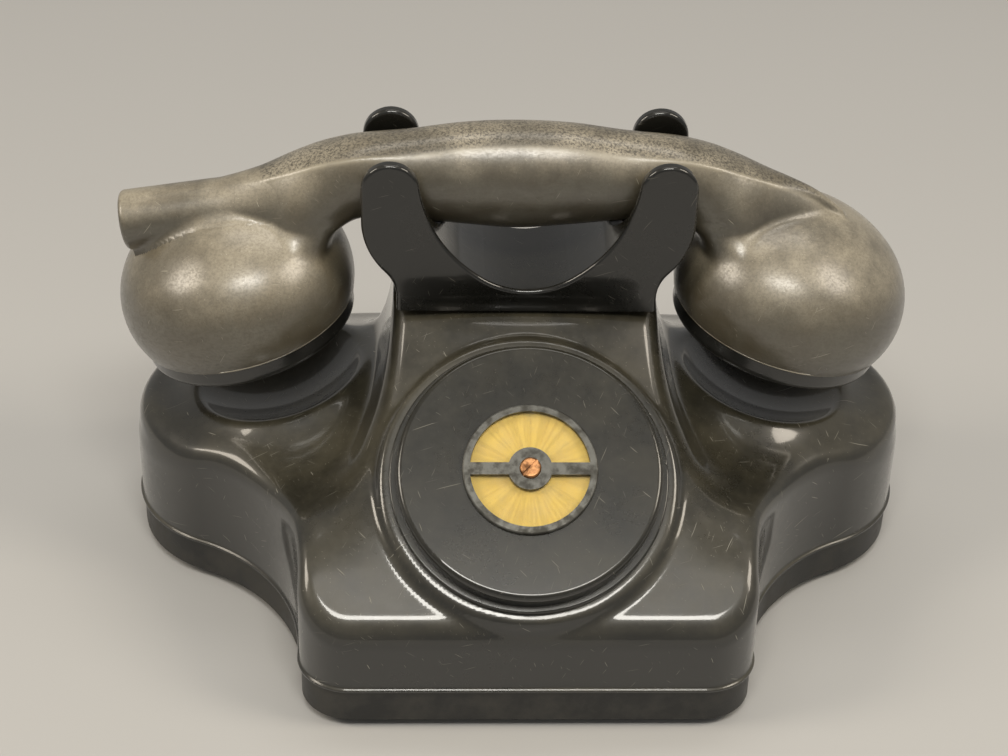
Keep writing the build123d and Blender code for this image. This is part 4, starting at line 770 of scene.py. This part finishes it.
def planEdge(s, y):
    # Half width of the outline at y: corner arc, straight side, hollow waist arc, wing arc and back arc.
    cornerX = s["waist"] - s["cornerRadius"]
    cornerY = s["front"] + s["cornerRadius"]
    hollowX = s["waist"] + s["waistRadius"]
    reach = s["waistRadius"] + s["wingRadius"]
    hollowY = s["wingY"] - math.sqrt(reach**2 - (hollowX - s["wingX"]) ** 2)
    share = s["waistRadius"] / reach
    meetY = hollowY + share * (s["wingY"] - hollowY)
    backRadius = s["back"] - s["wingY"]
    backX = s["wingX"] + s["wingRadius"] - backRadius

    def arc(centreY, radius):
        return np.sqrt(np.maximum(radius**2 - (y - centreY) ** 2, 0.0))

    edge = np.select(
        [y < cornerY, y < hollowY, y < meetY, y < s["wingY"]],
        [cornerX + arc(cornerY, s["cornerRadius"]), np.full_like(y, s["waist"]),
         hollowX - arc(hollowY, s["waistRadius"]), s["wingX"] + arc(s["wingY"], s["wingRadius"])],
        backX + arc(s["wingY"], backRadius),
    )
    return edge, (cornerX, cornerY, hollowX, hollowY, backRadius, backX)


def planDistance(s, x, y):
    # Distance to the outline: the least of the distances to its lines and arcs, each in its own sector.
    x = np.abs(x)
    edge, (cornerX, cornerY, hollowX, hollowY, backRadius, backX) = planEdge(s, y)
    far = np.full_like(x, 1e3)
    inCorner = (x >= cornerX) & (y <= cornerY)
    corner = np.where(inCorner, np.abs(np.hypot(x - cornerX, y - cornerY) - s["cornerRadius"]), far)
    front = np.where(x <= cornerX, np.abs(y - s["front"]), far)
    side = np.where((y >= cornerY) & (y <= hollowY), np.abs(x - s["waist"]), far)
    lineX, lineY = s["wingX"] - hollowX, s["wingY"] - hollowY
    beforeWing = (x - hollowX) * lineY - (y - hollowY) * lineX < 0
    toHollow = np.abs(np.hypot(x - hollowX, y - hollowY) - s["waistRadius"])
    hollow = np.where((y >= hollowY) & beforeWing, toHollow, far)
    inWing = (y <= s["wingY"]) & ((x - s["wingX"]) * lineY - (y - s["wingY"]) * lineX > 0)
    wing = np.where(inWing, np.abs(np.hypot(x - s["wingX"], y - s["wingY"]) - s["wingRadius"]), far)
    inBack = (y >= s["wingY"]) & (x >= backX)
    backArc = np.where(inBack, np.abs(np.hypot(x - backX, y - s["wingY"]) - backRadius), far)
    back = np.where(x <= backX, np.abs(y - s["back"]), far)
    nearest = np.minimum.reduce([corner, front, side, hollow, wing, backArc, back])
    inside = (x < edge) & (np.abs(y) < s["back"])
    return np.where(inside, -nearest, nearest)


def housingForm(points, s=housing):
    # The moulding's form: a slab with wings, a tower and two mounds, cut by the slope and the plan.
    x, y, z = points[..., 0], points[..., 1], points[..., 2]
    tilt = math.radians(s["tilt"])
    plan = planDistance(s, x, y) + s["beadWidth"]
    # sloping front: a plane that falls towards the front, crowned across near its top
    crown = x**2 / (2 * s["crownRadius"]) * eased(s["crownFrom"], s["crownTo"], y)
    level = s["ledge"] + (y - s["ledgeY"]) * math.tan(tilt) - crown
    front = (z - level) * math.cos(tilt)
    slab = roundCommon(plan, z - s["wingTop"], s["wingEdge"])
    # tower: rounded rectangle whose half width and back fall away as an exponential of the height
    flare = np.exp(-np.clip(z - s["towerFrom"], s["flareLow"], s["flareHigh"]) / s["towerFall"])
    width = s["towerWidth"] + s["towerFlare"] * flare
    depth = (s["towerBack"] + s["towerBackFlare"] * flare - s["towerFront"]) / 2
    corner = s["towerCorner"] + s["towerCornerFlare"] * flare
    acrossX = np.abs(x) - width + corner
    acrossY = np.abs(y - s["towerFront"] - depth) - depth + corner
    outside = np.hypot(np.maximum(acrossX, 0.0), np.maximum(acrossY, 0.0))
    lean = 1 / np.sqrt(1 + (s["towerFlare"] / s["towerFall"] * flare) ** 2)
    tower = (outside + np.minimum(np.maximum(acrossX, acrossY), 0.0) - corner) * lean
    tower = roundCommon(tower, z - s["ledge"], s["towerEdge"])
    # dish mounds: cones about the tilted dish axes, cut off at the lips
    lean = math.radians(s["dishTilt"])
    offX = np.abs(x) - s["dishX"]
    offY = y - s["dishY"]
    offZ = z - s["dishZ"]
    height = offX * math.sin(lean) + offZ * math.cos(lean)
    across = offX * math.cos(lean) - offZ * math.sin(lean)
    radius = np.hypot(across, offY)
    fall = math.atan2(s["moundSpread"], s["moundDrop"])
    cone = (radius - s["dishRadius"] - s["dishLip"] + height * math.tan(fall)) * math.cos(fall)
    mound = roundCommon(cone, height, s["lipEdge"])
    # dial boss: a round step on the slope
    faceUp = (y - s["faceY"]) * -math.sin(tilt) + (z - s["faceZ"]) * math.cos(tilt)
    faceAcross = (y - s["faceY"]) * math.cos(tilt) + (z - s["faceZ"]) * math.sin(tilt)
    boss = roundCommon(np.hypot(x, faceAcross) - s["bossRadius"], faceUp - s["bossTop"], s["bossEdge"])
    body = softUnion(slab, tower, s["towerBlend"])
    body = softUnion(body, mound, s["moundBlend"])
    body = roundCommon(body, plan, s["wallEdge"])
    body = roundCommon(body, front, s["slopeEdge"])
    body = roundUnion(body, boss, s["bossFillet"])
    # dish: a ball taken out of each mound
    ball = (s["dishRadius"] ** 2 + s["dishDepth"] ** 2) / (2 * s["dishDepth"])
    bowl = np.sqrt(radius**2 + (height - ball + s["dishDepth"]) ** 2) - ball
    return roundCommon(body, -bowl, s["lipEdge"])


def outlinePoints(s, count):
    # The outline at equal steps along its length, from a fine walk down its half width and back up.
    turn = np.linspace(0.0, math.pi, 4000)
    y = -s["back"] * np.cos(turn)
    halfWidth, _ = planEdge(s, y)
    halfWidth[0] = halfWidth[-1] = 0.0
    x = np.concatenate([halfWidth, -halfWidth[::-1]])
    y = np.concatenate([y, y[::-1]])
    run = np.concatenate([[0.0], np.cumsum(np.hypot(np.diff(x), np.diff(y)))])
    steps = np.linspace(0.0, run[-1], count, endpoint=False)
    return np.interp(steps, run, x), np.interp(steps, run, y)


def relaxOnForm(form, grid, rounds, pole, share=0.7, longest=2.0):
    # Each point slides towards the mean of its four neighbours and is then put back on the form
    # by a Newton step along the gradient. The first ring closes on the pole, the last one stays.
    for _ in range(rounds):
        before = np.concatenate([np.broadcast_to(pole, (1, grid.shape[1], 3)), grid[:-2]])
        mean = (before + grid[1:] + np.roll(grid, 1, 1)[:-1] + np.roll(grid, -1, 1)[:-1]) / 4
        grid[:-1] += share * (mean - grid[:-1])
        slope = slopeOf(form, grid[:-1])
        steep = np.maximum((slope**2).sum(-1), 0.05)
        move = -form(grid[:-1])[..., None] * slope / steep[..., None]
        grid[:-1] += np.clip(move, -longest, longest)
    return grid


def makeHousing(s):
    columns, rows, wallRows = s["columns"], s["rows"], s["wallRows"]
    edgeX, edgeY = outlinePoints(s, columns)
    middle = np.array([0.0, s["wingY"]])
    edge = np.stack([edgeX, edgeY], axis=-1)
    slope = slopeOf(lambda p: planDistance(s, p[..., 0], p[..., 1]), np.pad(edge, ((0, 0), (0, 1))))[:, :2]
    outward = slope / np.linalg.norm(slope, axis=-1, keepdims=True)
    wallFoot = edge - outward * s["beadWidth"]
    # top rings: the outline drawn in towards the middle, dropped onto the form from above
    share = np.linspace(0.0, 1.0, rows - wallRows + 1)[1:] ** s["packing"]
    plan = middle + share[:, None, None] * (wallFoot - outward * s["inset"] - middle)
    top = np.concatenate([plan, np.full((*plan.shape[:2], 1), s["ledge"] + s["dropFrom"])], axis=-1)
    for _ in range(s["drops"]):
        top[..., 2] -= s["dropShare"] * housingForm(top)
    # wall rings: from the last top ring straight down to the bead
    beadTop = s["beadLevel"] + s["beadHeight"]
    fall = np.linspace(0.0, 1.0, wallRows + 1)[1:, None]
    shoulder = top[-1, :, 2] - s["shoulder"]
    wallLevel = shoulder + (beadTop - shoulder) * fall
    wallPlan = np.broadcast_to(wallFoot, (wallRows, columns, 2))
    grid = np.concatenate([top, np.concatenate([wallPlan, wallLevel[..., None]], axis=-1)])
    pole = np.array([*middle, s["ledge"]])
    rounds = s["rounds"]
    grid = relaxOnForm(housingForm, grid, rounds, pole)
    # bead: a half round rib along the foot of the wall, then the foot's underside
    turn = np.linspace(0.0, math.pi, s["beadSteps"])
    beadOut = s["beadWidth"] * np.sin(turn)
    beadLevel = s["beadLevel"] + s["beadHeight"] * (1 + np.cos(turn)) / 2
    beadOut = np.append(beadOut[1:], -s["wall"])
    beadLevel = np.append(beadLevel[1:], s["beadLevel"])
    beadPlan = wallFoot + beadOut[:, None, None] * outward
    beadRise = np.broadcast_to(beadLevel[:, None, None], (len(beadOut), columns, 1))
    bead = np.concatenate([beadPlan, beadRise], axis=-1)
    # inner wall: the outer rings, every few, moved in by the wall thickness
    picked = grid[-2::-s["innerStep"]]
    slope = slopeOf(housingForm, picked)
    inner = picked - s["wall"] * slope / np.linalg.norm(slope, axis=-1, keepdims=True)
    rings = np.concatenate([grid, bead, inner])
    points, quads, triangles = closeRings(rings, pole, pole - (0.0, 0.0, s["wall"]))
    return makePiece("housingMoulding", points, quads, triangles, blacks["housingBlack"], outward=False)


housingPiece = makeHousing(housing)
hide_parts("housing")
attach(housingPiece, "base")
print("stage: housing made")


# handset: grip and domes as one moulding, swept along a C-shaped path

handset = {
    "x": -3.0, "y": 29.4,
    "domeOffset": 87.55, "domeZ": 94.1, "domeRadius": 37.3, "domeRise": 29.5, "domeSide": 25.0,
    "domeTilt": 14.5, "rimDrop": 10.5, "rimEdge": 0.7,
    # distance from the middle, level, rise, drop, half width, shoulder across and up, and lower
    # corner across and down
    "sections": [
        (0.0, 134.0, 17.1, 17.1, 14.5, 8.5, 13.85, 8.5, -13.85),
        (16.0, 134.1, 16.3, 15.96, 14.0, 8.5, 12.95, 8.3, -12.85),
        (33.0, 133.9, 14.1, 14.4, 12.6, 8.5, 10.6, 7.8, -11.3),
        (50.0, 132.8, 12.8, 13.5, 11.4, 8.3, 10.4, 7.0, -11.2),
        (60.0, 130.2, 12.6, 14.6, 12.6, 7.9, 10.7, 12.6, -13.2),
        (68.0, 127.4, 12.2, 18.4, 13.6, 7.0, 10.7, 15.2, -12.6),
        (76.0, 124.2, 12.0, 18.0, 11.0, 5.6, 10.6, 11.5, -12.0),
        (84.0, 121.0, 12.2, 14.0, 9.0, 4.2, 10.3, 8.0, -9.8),
        (92.0, 117.2, 12.2, 11.0, 7.4, 2.8, 9.9, 5.0, -9.0),
        (98.0, 114.0, 11.2, 9.0, 6.0, 2.0, 8.6, 4.0, -7.6),
        (102.0, 111.6, 10.2, 9.0, 5.0, 1.6, 8.0, 3.6, -7.6),
    ],
    "ridgeEdge": 0.1, "bellyEdge": 0.4, "upperFillet": 1.8, "neckFillet": 6.0,
    "filletFrom": 2.0, "filletTo": 12.0,
    "pivotX": 36.0, "columns": 200, "gripRings": 62, "bendRings": 150,
    "fanTurns": (0.25, 0.8, 1.2), "fanReach": (54.0, 47.0, 42.0), "rayLength": 62.0, "halvings": 34,
    "rimSteps": 5, "flatSteps": 8,
    "markEnd": (86.0, 99.0), "roofFrom": -0.02, "roofTo": 0.12, "ridgeShift": 0.02, "ridgeSpread": 0.07,
}


def curveThrough(xs, ys, x):
    # Cubic pieces through the given values, their slopes the mean of the slopes on both sides.
    xs = np.asarray(xs)
    ys = np.asarray(ys)
    steps = np.diff(ys) / np.diff(xs)
    slopes = np.concatenate([[0.0], (steps[1:] + steps[:-1]) / 2, steps[-1:]])
    x = np.clip(x, xs[0], xs[-1])
    place = np.clip(np.searchsorted(xs, x) - 1, 0, len(xs) - 2)
    width = xs[place + 1] - xs[place]
    t = (x - xs[place]) / width
    return (
        (2 * t**3 - 3 * t**2 + 1) * ys[place]
        + (t**3 - 2 * t**2 + t) * width * slopes[place]
        + (3 * t**2 - 2 * t**3) * ys[place + 1]
        + (t**3 - t**2) * width * slopes[place + 1]
    )


def arcDistance(across, up, first, second, third):
    # Distance to the disc whose rim passes three points of a section, each point a pair of arrays.
    (ax, ay), (bx, by), (cx, cy) = first, second, third
    double = 2 * (ax * (by - cy) + bx * (cy - ay) + cx * (ay - by))
    ra, rb, rc = ax**2 + ay**2, bx**2 + by**2, cx**2 + cy**2
    centreX = (ra * (by - cy) + rb * (cy - ay) + rc * (ay - by)) / double
    centreY = (ra * (cx - bx) + rb * (ax - cx) + rc * (bx - ax)) / double
    return np.hypot(across - centreX, up - centreY) - np.hypot(ax - centreX, ay - centreY)


def gripPlace(points, s):
    # Where points lie in the grip's own section, its angle there and the angles of its two corners.
    x = np.abs(points[..., 0] - s["x"])
    table = np.array(s["sections"]).T
    shape = [curveThrough(table[0], row, x) for row in table[1:]]
    up = points[..., 2] - shape[0]
    across = np.abs(points[..., 1] - s["y"])
    angles = (np.arctan2(up, across), np.arctan2(shape[5], shape[4]), np.arctan2(shape[7], shape[6]))
    return x, across, up, shape, angles


def handsetForm(points, s=handset):
    # The grip's section of three arcs, joined to a dome at each end by a fillet.
    y = points[..., 1] - s["y"]
    z = points[..., 2]
    x, across, up, shape, (angle, shoulder, corner) = gripPlace(points, s)
    top, bottom, half, shoulderY, shoulderZ, cornerY, cornerZ = shape[1:]
    zero = np.zeros_like(x)
    roof = arcDistance(y, up, (-shoulderY, shoulderZ), (zero, top), (shoulderY, shoulderZ))
    flank = arcDistance(across, up, (shoulderY, shoulderZ), (half, zero), (cornerY, cornerZ))
    belly = arcDistance(y, up, (-cornerY, cornerZ), (zero, -bottom), (cornerY, cornerZ))
    # each arc rules its own sector of the section, and they change over softly at the corners
    onRoof = eased(shoulder - s["ridgeEdge"], shoulder + s["ridgeEdge"], angle)
    onBelly = eased(corner + s["bellyEdge"], corner - s["bellyEdge"], angle)
    grip = roof * onRoof + belly * onBelly + flank * (1 - onRoof - onBelly)
    grip = np.maximum(grip, x - s["sections"][-1][0])
    # dome: side arc and crown arc turned about the tilted axis, cut off at the rim
    tilt = math.radians(s["domeTilt"])
    offX = x - s["domeOffset"]
    offZ = z - s["domeZ"]
    height = offX * math.sin(tilt) + offZ * math.cos(tilt)
    radius = np.hypot(offX * math.cos(tilt) - offZ * math.sin(tilt), y)
    sideCentre = s["domeRadius"] - s["domeSide"]
    crown = (s["domeRise"] ** 2 + sideCentre**2 - s["domeSide"] ** 2) / (2 * (s["domeRise"] - s["domeSide"]))
    crownDrop = crown - s["domeRise"]
    onCrown = height * sideCentre > (radius - sideCentre) * crownDrop
    shell = np.where(
        onCrown,
        np.hypot(radius, height + crownDrop) - crown,
        np.hypot(radius - sideCentre, height) - s["domeSide"],
    )
    dome = roundCommon(shell, -height - s["rimDrop"], s["rimEdge"])
    below = eased(s["filletFrom"], s["filletTo"], -up)
    fillet = s["upperFillet"] + (s["neckFillet"] - s["upperFillet"]) * below
    return roundUnion(grip, dome, fillet)


def handsetMarks(points, s):
    # Share of roof, 1 between the two ridges of the grip, and of ridge, a bell curve about each of them.
    x, _, _, _, (angle, shoulder, _) = gripPlace(points, s)
    onGrip = 1 - eased(*s["markEnd"], x)
    roof = eased(s["roofFrom"], s["roofTo"], angle - shoulder) * onGrip
    ridge = np.exp(-(((angle - shoulder + s["ridgeShift"]) / s["ridgeSpread"]) ** 2)) * onGrip
    return {"roof": roof, "ridge": ridge}


def makeHandset(s):
    columns = s["columns"]
    turn = np.arange(columns) / columns * 2 * math.pi
    tilt = math.radians(s["domeTilt"])
    rimX = s["domeOffset"] - s["rimDrop"] * math.sin(tilt)
    rimZ = s["domeZ"] - s["rimDrop"] * math.cos(tilt)
    pivotZ = rimZ + (rimX - s["pivotX"]) * math.tan(tilt)
    table = np.array(s["sections"]).T
    # half the path: rings square to the grip, then rings that fan about the pivot down to the rim
    gripX = np.linspace(0.0, s["pivotX"], s["gripRings"] // 2 + 1)
    fan = np.linspace(math.pi / 2, -tilt, s["bendRings"] + 1)[1:]
    gripMid = curveThrough(table[0], table[1] + (table[2] - table[3]) / 2, gripX)
    fanReach = np.interp(
        fan,
        [-tilt, *s["fanTurns"], math.pi / 2],
        [(rimX - s["pivotX"]) / math.cos(tilt), *s["fanReach"], gripMid[-1] - pivotZ],
    )
    centreX = np.concatenate([gripX, s["pivotX"] + fanReach * np.cos(fan)])
    centreZ = np.concatenate([gripMid, pivotZ + fanReach * np.sin(fan)])
    axisX = np.concatenate([np.zeros_like(gripX), np.cos(fan)])
    axisZ = np.concatenate([np.ones_like(gripX), np.sin(fan)])
    sideways = np.broadcast_to(np.sin(turn), (len(axisX), columns))
    rays = np.stack([axisX[:, None] * np.cos(turn), sideways, axisZ[:, None] * np.cos(turn)], axis=-1)
    centre = np.stack([centreX + s["x"], np.full_like(centreX, s["y"]), centreZ], axis=-1)[:, None]
    # the last fan ring lies in the rim's plane, so it is drawn up to where the rim's edge begins
    rim = np.array([-math.sin(tilt), 0.0, -math.cos(tilt)])
    centre[-1] -= rim * s["rimEdge"]
    # the length of each ray is closed in on by halving, until it ends on the form
    low = np.zeros((len(axisX), columns))
    high = np.full_like(low, s["rayLength"])
    for _ in range(s["halvings"]):
        middle = (low + high) / 2
        inside = handsetForm(centre + rays * middle[..., None]) < 0
        low = np.where(inside, middle, low)
        high = np.where(inside, high, middle)
    side = centre + rays * low[..., None]
    # rim: a small round edge, then rings drawn in over the flat under the dome
    rimCentre = np.array([rimX + s["x"], s["y"], rimZ])
    spread = side[-1] - rimCentre
    spread = spread - (spread @ rim)[:, None] * rim
    length = np.linalg.norm(spread, axis=-1, keepdims=True)
    edgeTurn = np.linspace(0.0, math.pi / 2, s["rimSteps"])[1:, None, None]
    edge = rimCentre + spread / length * (length - s["rimEdge"] * (1 - np.cos(edgeTurn)))
    edge = edge + rim * s["rimEdge"] * (np.sin(edgeTurn) - 1)
    inwards = np.linspace(1.0, 0.0, s["flatSteps"])[1:-1, None, None]
    flat = rimCentre + (edge[-1] - rimCentre) * inwards
    right = np.concatenate([side, edge, flat])
    left = right[:0:-1] * (-1, 1, 1) + (2 * s["x"], 0, 0)
    rings = np.concatenate([left, right])
    poles = (rimCentre * (-1, 1, 1) + (2 * s["x"], 0, 0), rimCentre)
    points, quads, triangles = closeRings(rings, *poles)
    marks = handsetMarks(points, s)
    return makePiece("handsetMoulding", points, quads, triangles, handsetBrown, outward=True, marks=marks)


handsetPiece = makeHandset(handset)
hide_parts("handset")
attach(handsetPiece, "handset")

spout = {
    "reach": 121.8, "z": 116.5, "tilt": 9.0, "radius": 9.4, "bore": 3.4, "boreLength": 20.0, "length": 54.0,
    "edge": 1.6, "fillet": 3.0, "widest": 13.0, "sunk": 0.1, "columns": 96, "rings": 76,
    "mouthSteps": 6, "startShare": 0.5, "walks": 60, "walkShare": 0.8,
}


def makeSpout(s, h):
    # Tube about its own axis: bore and rounded mouth as radius against depth, then the outside, where
    # each ray walks out from the axis by the distance still left to the tube and handset joined by a
    # fillet. The skirt runs under the dome.
    tilt = math.radians(s["tilt"])
    axis = np.array([math.cos(tilt), 0.0, math.sin(tilt)])
    end = np.array([h["x"] - s["reach"], h["y"], s["z"]])
    turn = np.arange(s["columns"]) / s["columns"] * 2 * math.pi
    sideways = np.array([0.0, 1.0, 0.0])
    upwards = np.cross(axis, sideways)
    around = np.cos(turn)[:, None] * sideways + np.sin(turn)[:, None] * upwards
    mouth = np.linspace(0.0, math.pi / 2, s["mouthSteps"])
    falling = s["edge"] * (1 - np.sin(mouth))
    rising = s["edge"] * (1 - np.cos(mouth))
    depth = np.concatenate([[s["boreLength"], s["boreLength"] * 0.5, s["edge"]], falling, rising])
    radius = np.concatenate([[s["bore"]] * 3, s["bore"] + rising, s["radius"] - falling])
    rings = end + depth[:, None, None] * axis + radius[:, None, None] * around
    deeper = np.linspace(s["edge"], s["length"], s["rings"])[1:, None, None]
    middle = end + deeper * axis
    reach = np.full((s["rings"] - 1, s["columns"]), s["radius"] * s["startShare"])
    for _ in range(s["walks"]):
        under = handsetForm(middle + around * reach[..., None]) + s["sunk"]
        left = roundUnion(under, reach - s["radius"], s["fillet"])
        reach = np.clip(reach - s["walkShare"] * left, 0.0, s["widest"])
    rings = np.concatenate([rings, middle + around * reach[..., None]])
    points, quads, triangles = closeRings(rings, end + s["boreLength"] * axis, end + s["length"] * axis)
    return makePiece("cordSpout", points, quads, triangles, handsetBrown, outward=True)


spoutPiece = makeSpout(spout, handset)
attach(spoutPiece, "handset")
print("stage: handset made")


# floor and world

room = {
    "paint": (0.56, 0.55, 0.53),
    "cloud": (0.59, 0.58, 0.56),
    "floorRoughness": 0.7,
    "floorReach": 3.0,            # metres
    "floorLines": 13,
    "sky": (0.75, 0.74, 0.72, 1.0),
    "skyStrength": 0.35,
}


def makeFloor(s):
    # Pale floor: flat in the middle, its edges far off, with a faint cloud in its paint.
    across = np.linspace(-s["floorReach"], s["floorReach"], s["floorLines"])
    x, y = np.meshgrid(across, across)
    points = np.stack([x, y, np.zeros_like(x)], axis=-1).reshape(-1, 3)
    side = len(across)
    start = (np.arange(side - 1)[:, None] * side + np.arange(side - 1)).reshape(-1)
    faces = np.stack([start, start + 1, start + side + 1, start + side], axis=-1)
    mesh = bpy.data.meshes.new("floor")
    mesh.from_pydata(points.tolist(), [], faces.tolist())
    material, tree, shader, place = startMaterial("palePaint")
    cloud = noiseNode(tree, (-900, 0), place, 3.0, 3.0, 0.5)
    join(tree, mixColour(tree, (-400, 0), cloud, s["paint"], s["cloud"]), shader.inputs["Base Color"])
    shader.inputs["Roughness"].default_value = s["floorRoughness"]
    mesh.materials.append(material)
    obj = bpy.data.objects.new("floor", mesh)
    bpy.context.scene.collection.objects.link(obj)


makeFloor(room)
world = bpy.data.worlds.new("room")
world.use_nodes = True
background = world.node_tree.nodes["Background"]
background.inputs["Color"].default_value = room["sky"]
background.inputs["Strength"].default_value = room["skyStrength"]
bpy.context.scene.world = world
print("stage: room made")
